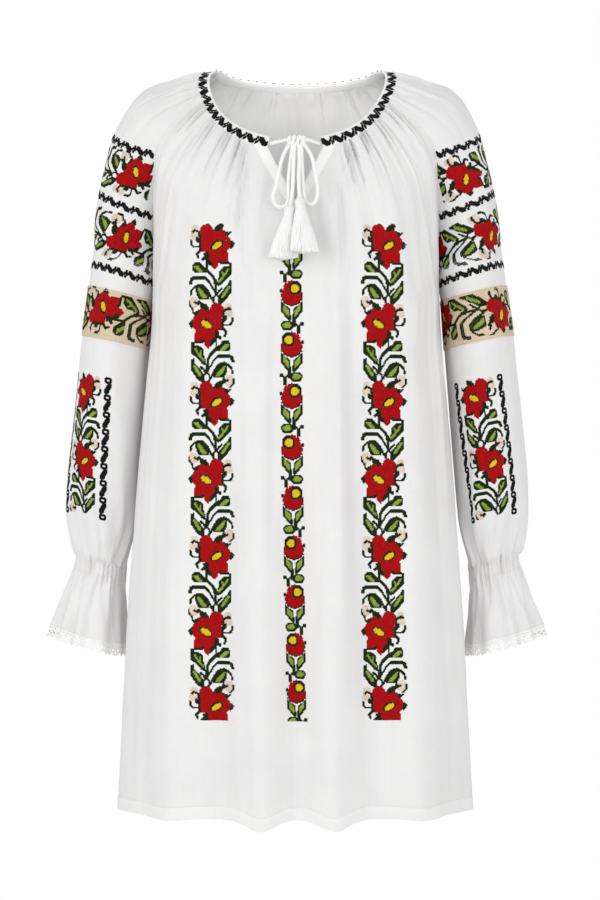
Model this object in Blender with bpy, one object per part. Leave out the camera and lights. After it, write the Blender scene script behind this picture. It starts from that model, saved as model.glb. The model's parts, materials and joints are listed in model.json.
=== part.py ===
"""Romanian ie: a long gathered cotton blouse, filled out as worn with no wearer.

Metres, +Z up, the front towards -Y. The origin is where the shoulders carry it: on the
middle plane, level with the top of the neckline. The cloth is one skin of sections, from
the neck down to the hem and to the wrists; each maker's piece is cut from that skin along
its seams and given its own wall.
"""

import math

import bmesh
import bpy
import numpy as np

# ---- sizes -------------------------------------------------------------------
WALL = 0.0012  # cloth, with the air that its crumple holds
HEM_WALL = 0.0022  # the turned-up hem is three layers
SEAM_GAP = 0.0003
LAID_GAP = 0.0003  # between a panel and what is sewn on it
FACING_WALL = 0.0010
TAN_WALL = 0.0010
BAND_HEIGHT = 0.0110
BAND_WALL = 0.0022
PIPING = 0.0030
CORD, CORD_STEP = 0.0030, 0.0070
SLIT_HALF_TOP = 0.032
SLIT_TOP_Z, SLIT_BOTTOM_Z = -0.101, -0.162
FACING_TOP, FACING_BOTTOM = 0.018, 0.012  # its width
FRONT_DRIFT = -0.0038  # the front hangs this far to one side of the neck

# Columns of cloth in each half. A gather is two columns: its ridge and its hollow.
FACING_COLUMNS, FRONT_COLUMNS = 3, 29
SLEEVE_COLUMNS, BACK_COLUMNS, WRIST_COLUMNS = 20, 24, 40
RUFFLE_WAVES = 8
GATHER_HEIGHT, WRIST_GATHER, RUFFLE_WAVE, SCALLOP = 0.0013, 0.0012, 0.0060, 0.0012
FRONT_ROUND = 2.2  # superellipse power of the front half of a section; 2 is an ellipse
BODY_CLEARANCE = 0.0035  # the arm hangs this far from the body

# ---- sections ----------------------------------------------------------------
# A row for each section, numbered down from the neck. z_mid and y_mid: its middle, at
# front or back; half_width and y_wide: its widest point; y_far: how deep the same oval
# goes on the other side; y_seam and z_seam: where its seam with the sleeve lies.
PANEL_COLUMNS = ("z_mid", "z_seam", "y_mid", "half_width", "y_wide", "y_far", "y_seam")
FRONT_SECTIONS = (
    (-0.101, -0.034, -0.104, 0.1165, 0.010, 0.090, -0.030),
    (-0.128, -0.050, -0.112, 0.1390, 0.000, 0.095, -0.042),
    (-0.158, -0.070, -0.119, 0.1580, -0.012, 0.100, -0.050),
    (-0.192, -0.095, -0.125, 0.1685, -0.025, 0.105, -0.052),
    (-0.228, -0.132, -0.130, 0.1695, -0.030, 0.108, -0.045),
    (-0.262, -0.175, -0.133, 0.1690, -0.030, 0.110, -0.032),
    (-0.288, -0.212, -0.134, 0.1685, -0.030, 0.110, -0.016),
    (-0.305, -0.238, -0.135, 0.1680, -0.030, 0.110, 0.000),
)
BACK_SECTIONS = (
    (-0.010, -0.001, 0.078, 0.1165, 0.010, -0.104, 0.052),
    (-0.030, -0.014, 0.092, 0.1420, 0.010, -0.100, 0.064),
    (-0.058, -0.036, 0.100, 0.1660, 0.005, -0.100, 0.070),
    (-0.096, -0.070, 0.106, 0.1820, 0.000, -0.100, 0.070),
    (-0.142, -0.118, 0.109, 0.1860, -0.010, -0.110, 0.060),
    (-0.188, -0.168, 0.110, 0.1800, -0.020, -0.120, 0.044),
    (-0.225, -0.210, 0.110, 0.1730, -0.027, -0.130, 0.022),
    (-0.252, -0.238, 0.110, 0.1680, -0.030, -0.135, 0.000),
)
# Below the armpit: z_front, z_side, z_back, half_width, y_front, y_back.
BODY_SECTIONS = (
    (-0.350, -0.310, -0.318, 0.1700, -0.137, 0.111),
    (-0.435, -0.415, -0.420, 0.1790, -0.140, 0.113),
    (-0.540, -0.530, -0.530, 0.1872, -0.143, 0.115),
    (-0.650, -0.645, -0.645, 0.1950, -0.146, 0.117),
    (-0.770, -0.768, -0.768, 0.2015, -0.149, 0.119),
    (-0.873, -0.873, -0.873, 0.2068, -0.151, 0.121),
)
BODY_Y_WIDE = -0.030
# The sleeve's ridge over the shoulder, and how far round its chord the cloth wraps.
RIDGE_COLUMNS = ("x", "y", "z", "wrap_degrees")
SHOULDER_RIDGE = (
    (0.1165, 0.012, 0.0020, 60.0),
    (0.1520, 0.014, -0.0055, 72.0),
    (0.1885, 0.014, -0.0190, 80.0),
    (0.2145, 0.012, -0.0620, 97.0),
    (0.2262, 0.009, -0.1040, 120.0),
    (0.2346, 0.006, -0.1420, 140.0),
    (0.2394, 0.003, -0.1740, 160.5),
    (0.2432, 0.000, -0.2070, 180.0),
)
# Closed rings of the arm: eight from the armpit to the wrist, then the frill's five.
RING_COLUMNS = ("z_inner", "z_outer", "x_inner", "x_outer", "half_depth")
ARM_RINGS = (
    (-0.2380, -0.2070, 0.1641, 0.2432, 0.0580),
    (-0.2720, -0.2532, 0.1715, 0.2494, 0.0580),
    (-0.3306, -0.3132, 0.1760, 0.2575, 0.0590),
    (-0.4080, -0.3920, 0.1820, 0.2660, 0.0590),
    (-0.4830, -0.4720, 0.1880, 0.2743, 0.0570),
    (-0.5380, -0.5250, 0.1935, 0.2758, 0.0510),
    (-0.5770, -0.5630, 0.2030, 0.2685, 0.0405),
    (-0.5920, -0.5765, 0.2075, 0.2634, 0.0340),
    (-0.6060, -0.5905, 0.2078, 0.2660, 0.0345),
    (-0.6300, -0.6100, 0.2065, 0.2755, 0.0400),
    (-0.6560, -0.6340, 0.2060, 0.2835, 0.0450),
    (-0.6820, -0.6585, 0.2050, 0.2910, 0.0500),
    (-0.6970, -0.6725, 0.2045, 0.2950, 0.0525),
)
ARMPIT, HEM_TURN, HEM = 7, 12.88, 13
TAN_TOP, TAN_BOTTOM = 8, 9
WRIST, CUFF_END, RUFFLE_END, LACE_END = 14, 15, 18, 19

# Where rows of points lie, as section numbers.
SLIT_END = 2.1
YOKE_ROWS = (0, 0.3, 0.7, 1.2, SLIT_END, 3, 4, 5.2, 6.2)
BODY_ROWS = (7, 7.7, 8.5, 9.6, 10.8, 12, HEM_TURN, HEM)
ARM_ROWS = (7, 7.5, 8, 8.5, 9, 10, 11, 12, 13, 13.5, WRIST)
FRILL_ROWS = (WRIST, 14.5, CUFF_END, 16, 17, RUFFLE_END, LACE_END)
BACK_FINE_END, WRIST_FINE_START = 1.2, 13.5

# ---- folds -------------------------------------------------------------------
# side: +1 is the wearer's left. at_neck, at_chest, at_hem: how far the ridge lies from
# the middle (0) to the seam (1). chest and hem: its height in metres, and width its
# half-width in the same measure as at_hem. drop: how much lower the hem hangs there.
CHEST = 4.0
FRONT_FOLDS = (
    (-1, 0.20, 0.22, 0.13, 0.0050, 0.0120, 0.070, 0.0115),
    (-1, 0.52, 0.50, 0.50, 0.0030, 0.0090, 0.085, 0.0030),
    (-1, 0.90, 0.84, 0.82, 0.0010, 0.0040, 0.070, 0.0000),
    (1, 0.12, 0.20, 0.15, 0.0050, 0.0120, 0.070, 0.0110),
    (1, 0.50, 0.53, 0.51, 0.0030, 0.0090, 0.085, 0.0035),
    (1, 0.88, 0.86, 0.83, 0.0010, 0.0040, 0.070, 0.0000),
)
BACK_FOLDS = (
    (-1, 0.10, 0.12, 0.16, 0.0040, 0.0110, 0.075, 0.0080),
    (-1, 0.55, 0.52, 0.55, 0.0025, 0.0090, 0.090, 0.0020),
    (1, 0.05, 0.08, 0.12, 0.0030, 0.0100, 0.080, 0.0060),
    (1, 0.45, 0.48, 0.50, 0.0030, 0.0095, 0.090, 0.0040),
)
CENTRE_HOLLOW = 0.0035  # the cloth sinks between its two middle ridges

# ---- tie ---------------------------------------------------------------------
# Each cord's own points between the faces it runs from and to, placed by hand: from the
# band's end to the knot's side, round the bow, and down to a tassel. The wearer's left is +X.
TIE_ROUTES = {
    "cord_left": ((0.0205, -0.1135, -0.0955),),
    "cord_right": ((-0.0250, -0.1135, -0.0945),),
    "bow_left": (
        (0.0148, -0.1225, -0.1110),
        (0.0182, -0.1265, -0.1240),
        (0.0208, -0.1315, -0.1400),
        (0.0222, -0.1335, -0.1520),
        (0.0208, -0.1350, -0.1625),
        (0.0158, -0.1360, -0.1685),
        (0.0100, -0.1358, -0.1665),
        (0.0064, -0.1350, -0.1595),
        (0.0052, -0.1315, -0.1400),
    ),
    "bow_right": (
        (-0.0178, -0.1225, -0.1120),
        (-0.0220, -0.1265, -0.1290),
        (-0.0262, -0.1315, -0.1480),
        (-0.0290, -0.1335, -0.1590),
        (-0.0262, -0.1355, -0.1690),
        (-0.0200, -0.1362, -0.1720),
        (-0.0140, -0.1360, -0.1690),
        (-0.0112, -0.1350, -0.1600),
        (-0.0112, -0.1305, -0.1380),
    ),
    "tail_left": (
        (0.0012, -0.1265, -0.1150),
        (0.0006, -0.1325, -0.1340),
        (0.0008, -0.1375, -0.1500),
        (0.0018, -0.1408, -0.1618),
    ),
    "tail_right": (
        (-0.0052, -0.1265, -0.1150),
        (-0.0060, -0.1325, -0.1340),
        (-0.0066, -0.1372, -0.1520),
        (-0.0090, -0.1400, -0.1700),
    ),
}
KNOT_PLACE, KNOT_SIZE, KNOT_ROUND = (-0.0018, -0.1200, -0.0930), (0.0250, 0.0100, 0.0100), 0.0020
# How far each cord leaves the knot's under side from its middle.
KNOT_SLOTS = {
    "bow_left": (0.0090, 0.0054),
    "bow_right": (-0.0090, -0.0054),
    "tail_left": (0.0018,),
    "tail_right": (-0.0018,),
}
CORD_GAP, CORD_STUB = 0.0002, 0.0030  # to the face a cord comes out of, and how far it runs square
# Where a tassel's head starts and its skirt ends, and how wide the skirt spreads.
TASSEL_COLUMNS = ("top", "bottom", "spread_x", "spread_y")
TASSELS = {
    "tassel_left": ((0.0020, -0.1420, -0.1624), (0.0074, -0.1520, -0.2235), 0.0145, 0.0042),
    "tassel_right": ((-0.0094, -0.1396, -0.1706), (-0.0165, -0.1412, -0.2300), 0.0160, 0.0042),
}
TASSEL_HEAD, TASSEL_HEAD_LENGTH = 0.0090, 0.0110
TASSEL_RINGS, TASSEL_SPOKES = 3, 12


# ---- reading the tables ------------------------------------------------------
def with_body(own, is_front):
    """A yoke table with the body's sections added, so that it runs from neck to hem."""
    rows = list(own)
    for z_front, z_side, z_back, half_width, y_front, y_back in BODY_SECTIONS:
        z_mid, y_mid, y_far = (z_front, y_front, y_back) if is_front else (z_back, y_back, y_front)
        rows.append((z_mid, z_side, y_mid, half_width, BODY_Y_WIDE, y_far, 0.0))
    return np.array(rows)


FRONT_TABLE = with_body(FRONT_SECTIONS, True)
BACK_TABLE = with_body(BACK_SECTIONS, False)


def section(table, number):
    """The table's columns at a section number that may lie between rows (Catmull-Rom)."""
    table = np.asarray(table)
    if len(table) > HEM and number >= ARMPIT:
        # From the armpit down, front and back read the same rows, so their seams meet.
        table, number = table[ARMPIT:], number - ARMPIT
    number = min(max(number, 0.0), len(table) - 1.0)
    low = min(int(number), len(table) - 2)
    t = number - low
    p1, p2 = table[low], table[low + 1]
    p0 = table[low - 1] if low else 2 * p1 - p2
    p3 = table[low + 2] if low + 2 < len(table) else 2 * p2 - p1
    bend = 2 * p0 - 5 * p1 + 4 * p2 - p3
    twist = 3 * p1 - p0 - 3 * p2 + p3
    return 0.5 * (2 * p1 + (p2 - p0) * t + bend * t * t + twist * t**3)


def smooth(t):
    t = np.clip(t, 0.0, 1.0)
    return t * t * (3 - 2 * t)


def along(line, distances):
    """Points at these distances along a dense line."""
    line = np.asarray(line)
    run = np.concatenate([[0], np.cumsum(np.linalg.norm(np.diff(line, axis=0), axis=1))])
    at = distances(run[-1]) if callable(distances) else distances
    return np.stack([np.interp(at, run, line[:, axis]) for axis in range(3)], axis=1)


def evenly(count):
    return lambda length: np.linspace(0, length, count + 1)


# ---- sections of cloth -------------------------------------------------------
def oval_x(y, half_width, y_wide, y_front, y_back):
    """Half the width of a section of the body at depth y."""
    y = np.asarray(y, float)
    front = np.clip((y_wide - y) / (y_wide - y_front), 0, 1) ** FRONT_ROUND
    back = np.clip((y - y_wide) / (y_back - y_wide), 0, 1) ** 2
    return half_width * np.where(y < y_wide, (1 - front) ** (1 / FRONT_ROUND), (1 - back) ** 0.5)


def panel_line(table, number, start_x=0.0):
    """A dense line over half of a front or back section, from its middle to its seam."""
    z_mid, z_seam, y_mid, half_width, y_wide, y_far, y_seam = section(table, number)
    ends = (y_mid, y_far) if y_mid < y_wide else (y_far, y_mid)
    share = (1 - np.cos(np.linspace(0, math.pi, 400))) / 2
    y = y_mid + (y_seam - y_mid) * share**2
    x = oval_x(y, half_width, y_wide, *ends)
    z = z_mid + (z_seam - z_mid) * share**2
    if start_x > 0:
        first = int(np.argmax(x > start_x))
        t = (start_x - x[first - 1]) / (x[first] - x[first - 1])
        start = [a[first - 1] + t * (a[first] - a[first - 1]) for a in (x, y, z)]
        x, y, z = (np.concatenate([[s], a[first:]]) for s, a in zip(start, (x, y, z)))
    return np.stack([x, y, z], axis=1)


def slit_half_width(number):
    z = section(FRONT_TABLE, number)[0]
    return SLIT_HALF_TOP * max(z - SLIT_BOTTOM_Z, 0.0) / (SLIT_TOP_Z - SLIT_BOTTOM_Z)


def front_spread(number):
    """The first columns make the facing's width along the slit; the rest are even."""
    down = min(number / SLIT_END, 1.0)
    facing = FACING_TOP + (FACING_BOTTOM - FACING_TOP) * down

    def distances(length):
        even = length * FACING_COLUMNS / FRONT_COLUMNS
        wide = facing + (even - facing) * smooth((number - SLIT_END) / 2)
        rest = np.linspace(wide, length, FRONT_COLUMNS - FACING_COLUMNS + 1)
        return np.concatenate([np.linspace(0, wide, FACING_COLUMNS + 1), rest[1:]])

    return distances


def kept_clear(points, outline, clearance):
    """Sleeve points moved out to where they clear the body's outline."""
    least = oval_x(points[:, 1], *outline) + clearance
    out = points.copy()
    out[:, 0] = np.maximum(points[:, 0], least)
    return out


def yoke_sleeve_line(number):
    """A dense line over the sleeve's section from its front seam, over the ridge, to its back."""
    front = panel_line(FRONT_TABLE, number)[-1]
    back = panel_line(BACK_TABLE, number)[-1]
    x, y, z, wrap_degrees = section(SHOULDER_RIDGE, number)
    wrap = math.radians(wrap_degrees)
    middle, half = (front + back) / 2, (back - front) / 2
    angle = np.linspace(-wrap, wrap, 241)[:, None]
    out = (np.cos(angle) - math.cos(wrap)) / (1 - math.cos(wrap))
    line = middle + (np.array([x, y, z]) - middle) * out + half * np.sin(angle) / math.sin(wrap)
    _, _, y_mid, half_width, y_wide, y_far, y_seam = section(FRONT_TABLE, number)
    run = np.linalg.norm(line - front, axis=1)
    beside = np.clip(run / 0.03, 0, 1) * BODY_CLEARANCE
    in_front = line[:, 1] < y_seam
    cleared = kept_clear(line, (half_width, y_wide, y_mid, y_far), beside)
    return np.where(in_front[:, None], cleared, line)


def ring_line(number):
    """A dense closed line round the arm, from the seam under it, by the front, and back."""
    z_inner, z_outer, x_inner, x_outer, half_depth = section(ARM_RINGS, number - ARMPIT)
    angle = np.linspace(0, 2 * math.pi, 241)
    out = (1 - np.cos(angle)) / 2
    line = np.stack(
        [
            x_inner + (x_outer - x_inner) * out,
            -half_depth * np.sin(angle),
            z_inner + (z_outer - z_inner) * out,
        ],
        axis=1,
    )
    level = np.interp(-z_inner, -FRONT_TABLE[:, 1], np.arange(len(FRONT_TABLE)))
    _, _, y_mid, half_width, y_wide, y_far, _ = section(FRONT_TABLE, level)
    away = BODY_CLEARANCE * smooth((number - ARMPIT) / 0.5)
    if number == ARMPIT:
        away = BODY_CLEARANCE * np.clip(np.linalg.norm(line - line[0], axis=1) / 0.03, 0, 1)
    return kept_clear(line, (half_width, y_wide, y_mid, y_far), away)


# ---- folds and gathers -------------------------------------------------------
def zigzag(count, first=0, last=0):
    """Ridge and hollow by turns over count columns, flat at both ends."""
    signs = np.array([1.0 if c % 2 else -1.0 for c in range(count + 1)])
    signs[: first + 1] = 0
    signs[count - last :] = 0
    return signs


def gather_fade(number, columns, reach, spread):
    """Gathers run out at uneven lengths below the neckline."""
    gather = np.arange(columns + 1) // 2
    length = reach + spread * np.sin(2.4 * gather) + 0.4 * spread * np.sin(5.1 * gather)
    return (0.7 + 0.3 * smooth(number / 0.3)) * (1 - smooth(number / length))


def fold_lift(folds, side, number, share):
    """Outward lift, and drop of the hem, of a panel's broad folds at share of its half."""
    lift, drop = np.zeros(len(share)), np.zeros(len(share))
    to_chest = smooth(number / CHEST)
    to_hem = smooth((number - CHEST) / (HEM - CHEST))
    for fold_side, at_neck, at_chest, at_hem, chest, hem, width, hang in folds:
        middle = at_neck + (at_chest - at_neck) * to_chest + (at_hem - at_chest) * to_hem
        height = chest * smooth(number / 2) + (hem - chest) * to_hem
        spread = width * (0.75 + 0.25 * to_hem)
        place = share if fold_side == side else -share
        ridge = np.exp(-(((place - middle) / spread) ** 2))
        lift += height * ridge
        drop += hang * ridge * smooth((number - 11.0) / 2)
    return lift * smooth((1 - share) / 0.12), drop


def lace_edge():
    """The lace's lower edge: twice as many points, up and down by turns for its scallops."""
    points, lift = sleeve_row(LACE_END)
    middles = (points[1:] + points[:-1]) / 2
    edge = np.empty((2 * len(points) - 1, 3))
    edge[::2], edge[1::2] = points, middles
    edge[::2, 2] += SCALLOP
    edge[1::2, 2] -= SCALLOP
    return edge, np.interp(np.arange(len(edge)) / 2, np.arange(len(lift)), lift)


def front_row(side, number):
    line = panel_line(FRONT_TABLE, number, slit_half_width(number))
    points = along(line, front_spread(number))
    share = np.linspace(0, 1, FRONT_COLUMNS + 1)
    folds, drop = fold_lift(FRONT_FOLDS, side, number, share)
    hollow = CENTRE_HOLLOW * np.exp(-((share / 0.07) ** 2)) * smooth((number - 3) / 5)
    gathers = GATHER_HEIGHT * zigzag(FRONT_COLUMNS, FACING_COLUMNS)
    gathers = gathers * gather_fade(number, FRONT_COLUMNS, 2.4, 0.9)
    points[:, 2] -= drop
    return points, folds - hollow + gathers


def back_row(side, number):
    line = panel_line(BACK_TABLE, number)[::-1]
    points = along(line, evenly(BACK_COLUMNS))
    share = np.linspace(1, 0, BACK_COLUMNS + 1)
    folds, drop = fold_lift(BACK_FOLDS, side, number, share)
    gathers = GATHER_HEIGHT * zigzag(BACK_COLUMNS) * gather_fade(number, BACK_COLUMNS, 1.8, 0.5)
    points[:, 2] -= drop
    lift = folds + gathers
    if number > BACK_FINE_END:
        return points[::2], lift[::2]
    return points, lift


def sleeve_row(number):
    fine = number >= WRIST_FINE_START
    count = WRIST_COLUMNS if fine else SLEEVE_COLUMNS
    line = yoke_sleeve_line(number) if number < ARMPIT else ring_line(number)
    points = along(line, evenly(count))
    share = np.linspace(0, 1, count + 1)
    top = GATHER_HEIGHT * zigzag(SLEEVE_COLUMNS) * gather_fade(number, SLEEVE_COLUMNS, 1.7, 0.5)
    wrist = WRIST_GATHER * zigzag(WRIST_COLUMNS)
    puff = 0.0030 * np.sin(2 * math.pi * 5 * share + 0.6) * smooth((number - 10) / 2.5)
    puff = puff * smooth((WRIST + 0.2 - number) / 1.2) * smooth(share / 0.08) * smooth((1 - share) / 0.08)
    if fine and number <= CUFF_END:
        return points, wrist + puff
    if fine:
        grow = min((number - CUFF_END) / (RUFFLE_END - CUFF_END), 1.0)
        wave = np.cos(2 * math.pi * RUFFLE_WAVES * share) + 0.3 * np.cos(2 * math.pi * 3 * share + 1)
        return points, RUFFLE_WAVE * smooth(0.15 + 0.85 * grow) * grow * wave
    return points, (top if number < ARMPIT else 0 * top) + puff


# ---- the skin ----------------------------------------------------------------
def strip(upper, lower):
    """Triangles between two rows of point numbers; one row may be twice as fine."""
    faces = []
    if len(upper) == len(lower):
        for a, b, c, d in zip(upper, lower, lower[1:], upper[1:]):
            faces += [(a, b, c), (a, c, d)]
    elif len(upper) > len(lower):
        for i in range(len(lower) - 1):
            a, b, c = upper[2 * i : 2 * i + 3]
            d, e = lower[i : i + 2]
            faces += [(a, d, b), (b, d, e), (b, e, c)]
    else:
        for i in range(len(upper) - 1):
            a, b = upper[i : i + 2]
            c, d, e = lower[2 * i : 2 * i + 3]
            faces += [(a, c, d), (a, d, b), (b, d, e)]
    return faces


class Skin:
    """The whole cloth as one surface, whose panels share their points along seams."""

    def __init__(self):
        self.points, self.lifts, self.panels = [], [], {}

    def add(self, panel, rows, side):
        """rows: (points, lifts) on the wearer's left; side -1 mirrors them."""
        numbered = []
        for points, lifts in rows:
            first = len(self.points)
            self.points += [(x * side, y, z) for x, y, z in points]
            self.lifts += list(lifts)
            numbered.append(list(range(first, len(self.points))))
        faces = self.panels.setdefault(panel, [])
        for upper, lower in zip(numbered, numbered[1:]):
            made = strip(upper, lower)
            faces += made if side > 0 else [face[::-1] for face in made]

    def settle(self):
        """Joins equal points, then lifts each along its normal by its mean lift."""
        key = np.round(np.array(self.points), 6) + 0.0
        _, first, index, count = np.unique(
            key, axis=0, return_index=True, return_inverse=True, return_counts=True
        )
        index = index.reshape(-1)
        self.keys = key[first]
        self.points = np.array(self.points)[first]
        lifts = np.bincount(index, weights=self.lifts) / count
        for panel, faces in self.panels.items():
            joined = index[np.array(faces)]
            whole = (joined[:, 0] != joined[:, 1]) & (joined[:, 1] != joined[:, 2])
            whole &= joined[:, 2] != joined[:, 0]
            self.panels[panel] = joined[whole]
        self.normals = point_normals(self.points, np.concatenate(list(self.panels.values())))
        self.points = self.points + self.normals * lifts[:, None]
        drift = FRONT_DRIFT * smooth((0.03 - self.points[:, 1]) / 0.09)
        self.points[:, 0] += drift
        self.normals = point_normals(self.points, np.concatenate(list(self.panels.values())))
        self.edge_users = {}
        for panel, faces in self.panels.items():
            for edge in boundary(faces):
                self.edge_users.setdefault(frozenset(edge), set()).add(panel)


def point_normals(points, faces):
    a, b, c = (points[faces[:, i]] for i in range(3))
    across = np.cross(b - a, c - a)
    normals = np.zeros_like(points)
    for i in range(3):
        np.add.at(normals, faces[:, i], across)
    length = np.linalg.norm(normals, axis=1, keepdims=True)
    return normals / np.where(length > 0, length, 1)


def boundary(faces):
    """Directed edges that only one triangle has."""
    ends = np.concatenate([faces[:, [0, 1]], faces[:, [1, 2]], faces[:, [2, 0]]])
    have = set(map(tuple, ends.tolist()))
    return [edge for edge in map(tuple, ends.tolist()) if edge[::-1] not in have]


def seam_allowance(skin, panel, faces):
    """Half the seam's gap, as a move of each seam point back into its own panel."""
    edges = [e for e in boundary(faces) if len(skin.edge_users[frozenset(e)]) > 1]
    pull = np.zeros_like(skin.points)
    for start, end in edges:
        along_seam = skin.points[end] - skin.points[start]
        # Each edge uses the normal of its far end for the near point, so that the point
        # under the arm, where three panels meet, is pulled along both of its seams.
        for here, there in ((start, end), (end, start)):
            inward = np.cross(skin.normals[there], along_seam)
            pull[here] += inward / max(np.linalg.norm(inward), 1e-12)
    length = np.linalg.norm(pull, axis=1, keepdims=True)
    return pull / np.where(length > 0, length, 1) * SEAM_GAP / 2


# ---- solids ------------------------------------------------------------------
def material(name, colour, roughness):
    made = bpy.data.materials.new(name)
    made.use_nodes = True
    shader = made.node_tree.nodes["Principled BSDF"]
    shader.inputs["Base Color"].default_value = (*colour, 1)
    shader.inputs["Roughness"].default_value = roughness
    return made


def add_object(name, data, finish):
    made = bpy.data.objects.new(name, data)
    data.materials.append(finish)
    bpy.context.scene.collection.objects.link(made)
    return made


def add_wall(name, finish, points, normals, faces, wall):
    """A closed solid: the faces as its outer side, and the same moved in by the wall."""
    used = np.unique(faces)
    number = {int(old): new for new, old in enumerate(used)}
    local = [tuple(number[int(i)] for i in face) for face in faces]
    wall = np.broadcast_to(wall, len(points))[used][:, None]
    outer = points[used]
    inner = outer - normals[used] * wall
    count = len(used)
    solid = list(local)
    solid += [tuple(i + count for i in face[::-1]) for face in local]
    for a, b in boundary(np.array(local)):
        solid += [(b, a, a + count), (b, a + count, b + count)]
    mesh = bpy.data.meshes.new(name)
    mesh.from_pydata(np.concatenate([outer, inner]).tolist(), [], solid)
    mesh.shade_smooth()
    return add_object(name, mesh, finish)


def add_panel(skin, panel, finish, wall=WALL, lift=0.0):
    faces = skin.panels[panel]
    points = skin.points + seam_allowance(skin, panel, faces) + skin.normals * lift
    return add_wall(panel, finish, points, skin.normals, faces, wall)


def add_laid(skin, name, finish, faces, wall):
    """A piece sewn flat on a panel: the panel's own faces, moved out past a small gap."""
    points = skin.points + skin.normals * (LAID_GAP + wall)
    return add_wall(name, finish, points, skin.normals, faces, wall)


def add_tube(name, finish, points, diameter, resolution=2):
    curve = bpy.data.curves.new(name, "CURVE")
    curve.dimensions = "3D"
    curve.bevel_depth = diameter / 2
    curve.bevel_resolution = resolution
    curve.use_fill_caps = True
    run = curve.splines.new("POLY")
    run.points.add(len(points) - 1)
    for point, place in zip(run.points, points):
        point.co = (*place, 1)
    return add_object(name, curve, finish)


def neckline():
    """The neck edge from one side of the slit, round the back, to the other, and its slope."""
    lines = []
    for number in (0, 0.5):
        front = along(panel_line(FRONT_TABLE, number, slit_half_width(number)), evenly(14))
        sleeve = along(yoke_sleeve_line(number), evenly(10))
        back = along(panel_line(BACK_TABLE, number)[::-1], evenly(12))
        half = np.concatenate([front[:-1], sleeve[:-1], back])
        whole = np.concatenate([half, half[::-1][1:] * np.array([-1, 1, 1])])
        whole[:, 0] += FRONT_DRIFT * smooth((0.03 - whole[:, 1]) / 0.09)
        lines.append(whole)
    edge, below = lines
    upward = edge - below
    return edge, upward / np.linalg.norm(upward, axis=1, keepdims=True)


def add_neckband(band_finish, piping_finish):
    """A flat band that carries the yoke's slope on inward, and the piping on its edge.

    It returns the middle of each end's face, and the way that face looks.
    """
    edge, upward = neckline()
    top, count = SEAM_GAP + BAND_HEIGHT, len(edge)
    points = np.concatenate([edge + upward * top, edge + upward * SEAM_GAP])
    faces = np.array(strip(list(range(count)), list(range(count, 2 * count))))
    normals = point_normals(points, faces)
    outer = points + normals * (BAND_WALL - WALL) / 2
    add_wall("neckband", band_finish, outer, normals, faces, BAND_WALL)
    rim = edge + upward * (top + 2 * SEAM_GAP + PIPING / 2)
    add_tube("neck_piping", piping_finish, rim, PIPING, resolution=0)
    ends = {}
    for hand, end, beside in (("left", 0, 1), ("right", count - 1, count - 2)):
        middle = (outer[end] + outer[end + count] - (normals[end] + normals[end + count]) * BAND_WALL / 2) / 2
        looks = np.cross(upward[end], normals[end])
        looks = looks / np.linalg.norm(looks)
        ends[hand] = (middle, looks * np.sign(looks @ (edge[end] - edge[beside])))
    return ends


def faces_among(skin, panel, rows, hand):
    """The panel's faces whose corners all lie on these rows of points, on one side."""
    side = 1 if hand == "left" else -1
    wanted = {tuple(np.round((x * side, y, z), 6) + 0.0) for row in rows for x, y, z in row}
    faces = skin.panels[panel]
    return np.array([f for f in faces if all(tuple(skin.keys[i]) in wanted for i in f)])


def facing_faces(skin, hand):
    numbers = [n for n in YOKE_ROWS if n <= SLIT_END]
    rows = [front_row(1, n)[0][: FACING_COLUMNS + 1] for n in numbers]
    return faces_among(skin, "front", rows, hand)


def tan_faces(skin, hand):
    rows = [sleeve_row(n)[0] for n in ARM_ROWS if TAN_TOP <= n <= TAN_BOTTOM]
    return faces_among(skin, f"sleeve_{hand}", rows, hand)


def smooth_route(points, step):
    """Points about a step apart through a route's own; its first and last stretch are straight."""
    dense = np.linspace(1, len(points) - 2, 20 * len(points))
    line = np.array([section(points, t) for t in dense])
    length = np.linalg.norm(np.diff(line, axis=0), axis=1).sum()
    middle = along(line, evenly(max(round(length / step), 2)))
    return np.concatenate([points[:1], middle, points[-1:]])


def square_to(face_middle, looks):
    """A cord's first two points, where it comes out of a face."""
    return [face_middle + looks * CORD_GAP, face_middle + looks * (CORD_GAP + CORD_STUB)]


def tie_lines(band_ends):
    """Each cord's line; both ends are square to their faces, but for a tail's at its tassel."""
    lines = {}
    knot, half = np.array(KNOT_PLACE), np.array(KNOT_SIZE) / 2
    for hand, side in (("left", 1.0), ("right", -1.0)):
        aside = np.array([side, 0, 0])
        cord, bow, tail = (f"{piece}_{hand}" for piece in ("cord", "bow", "tail"))
        under = [knot + [slot, 0, -half[2]] for slot in KNOT_SLOTS[bow] + KNOT_SLOTS[tail]]
        outer, inner, free = (square_to(place, np.array([0, 0, -1.0])) for place in under)
        at_side = square_to(knot + aside * half[0], aside)
        lines[cord] = square_to(*band_ends[hand]) + [*TIE_ROUTES[cord]] + at_side[::-1]
        lines[bow] = outer + [*TIE_ROUTES[bow]] + inner[::-1]
        lines[tail] = free + [*TIE_ROUTES[tail]]
    return {name: np.array(line) for name, line in lines.items()}


def add_knot(finish):
    mesh = bpy.data.meshes.new("bow_knot")
    shape = bmesh.new()
    bmesh.ops.create_cube(shape, size=1)
    bmesh.ops.scale(shape, vec=KNOT_SIZE, verts=shape.verts)
    bmesh.ops.bevel(shape, geom=shape.edges, offset=KNOT_ROUND, segments=3, profile=0.5, affect="EDGES")
    shape.to_mesh(mesh)
    shape.free()
    mesh.shade_smooth()
    knot = add_object("bow_knot", mesh, finish)
    knot.location = KNOT_PLACE


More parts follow.
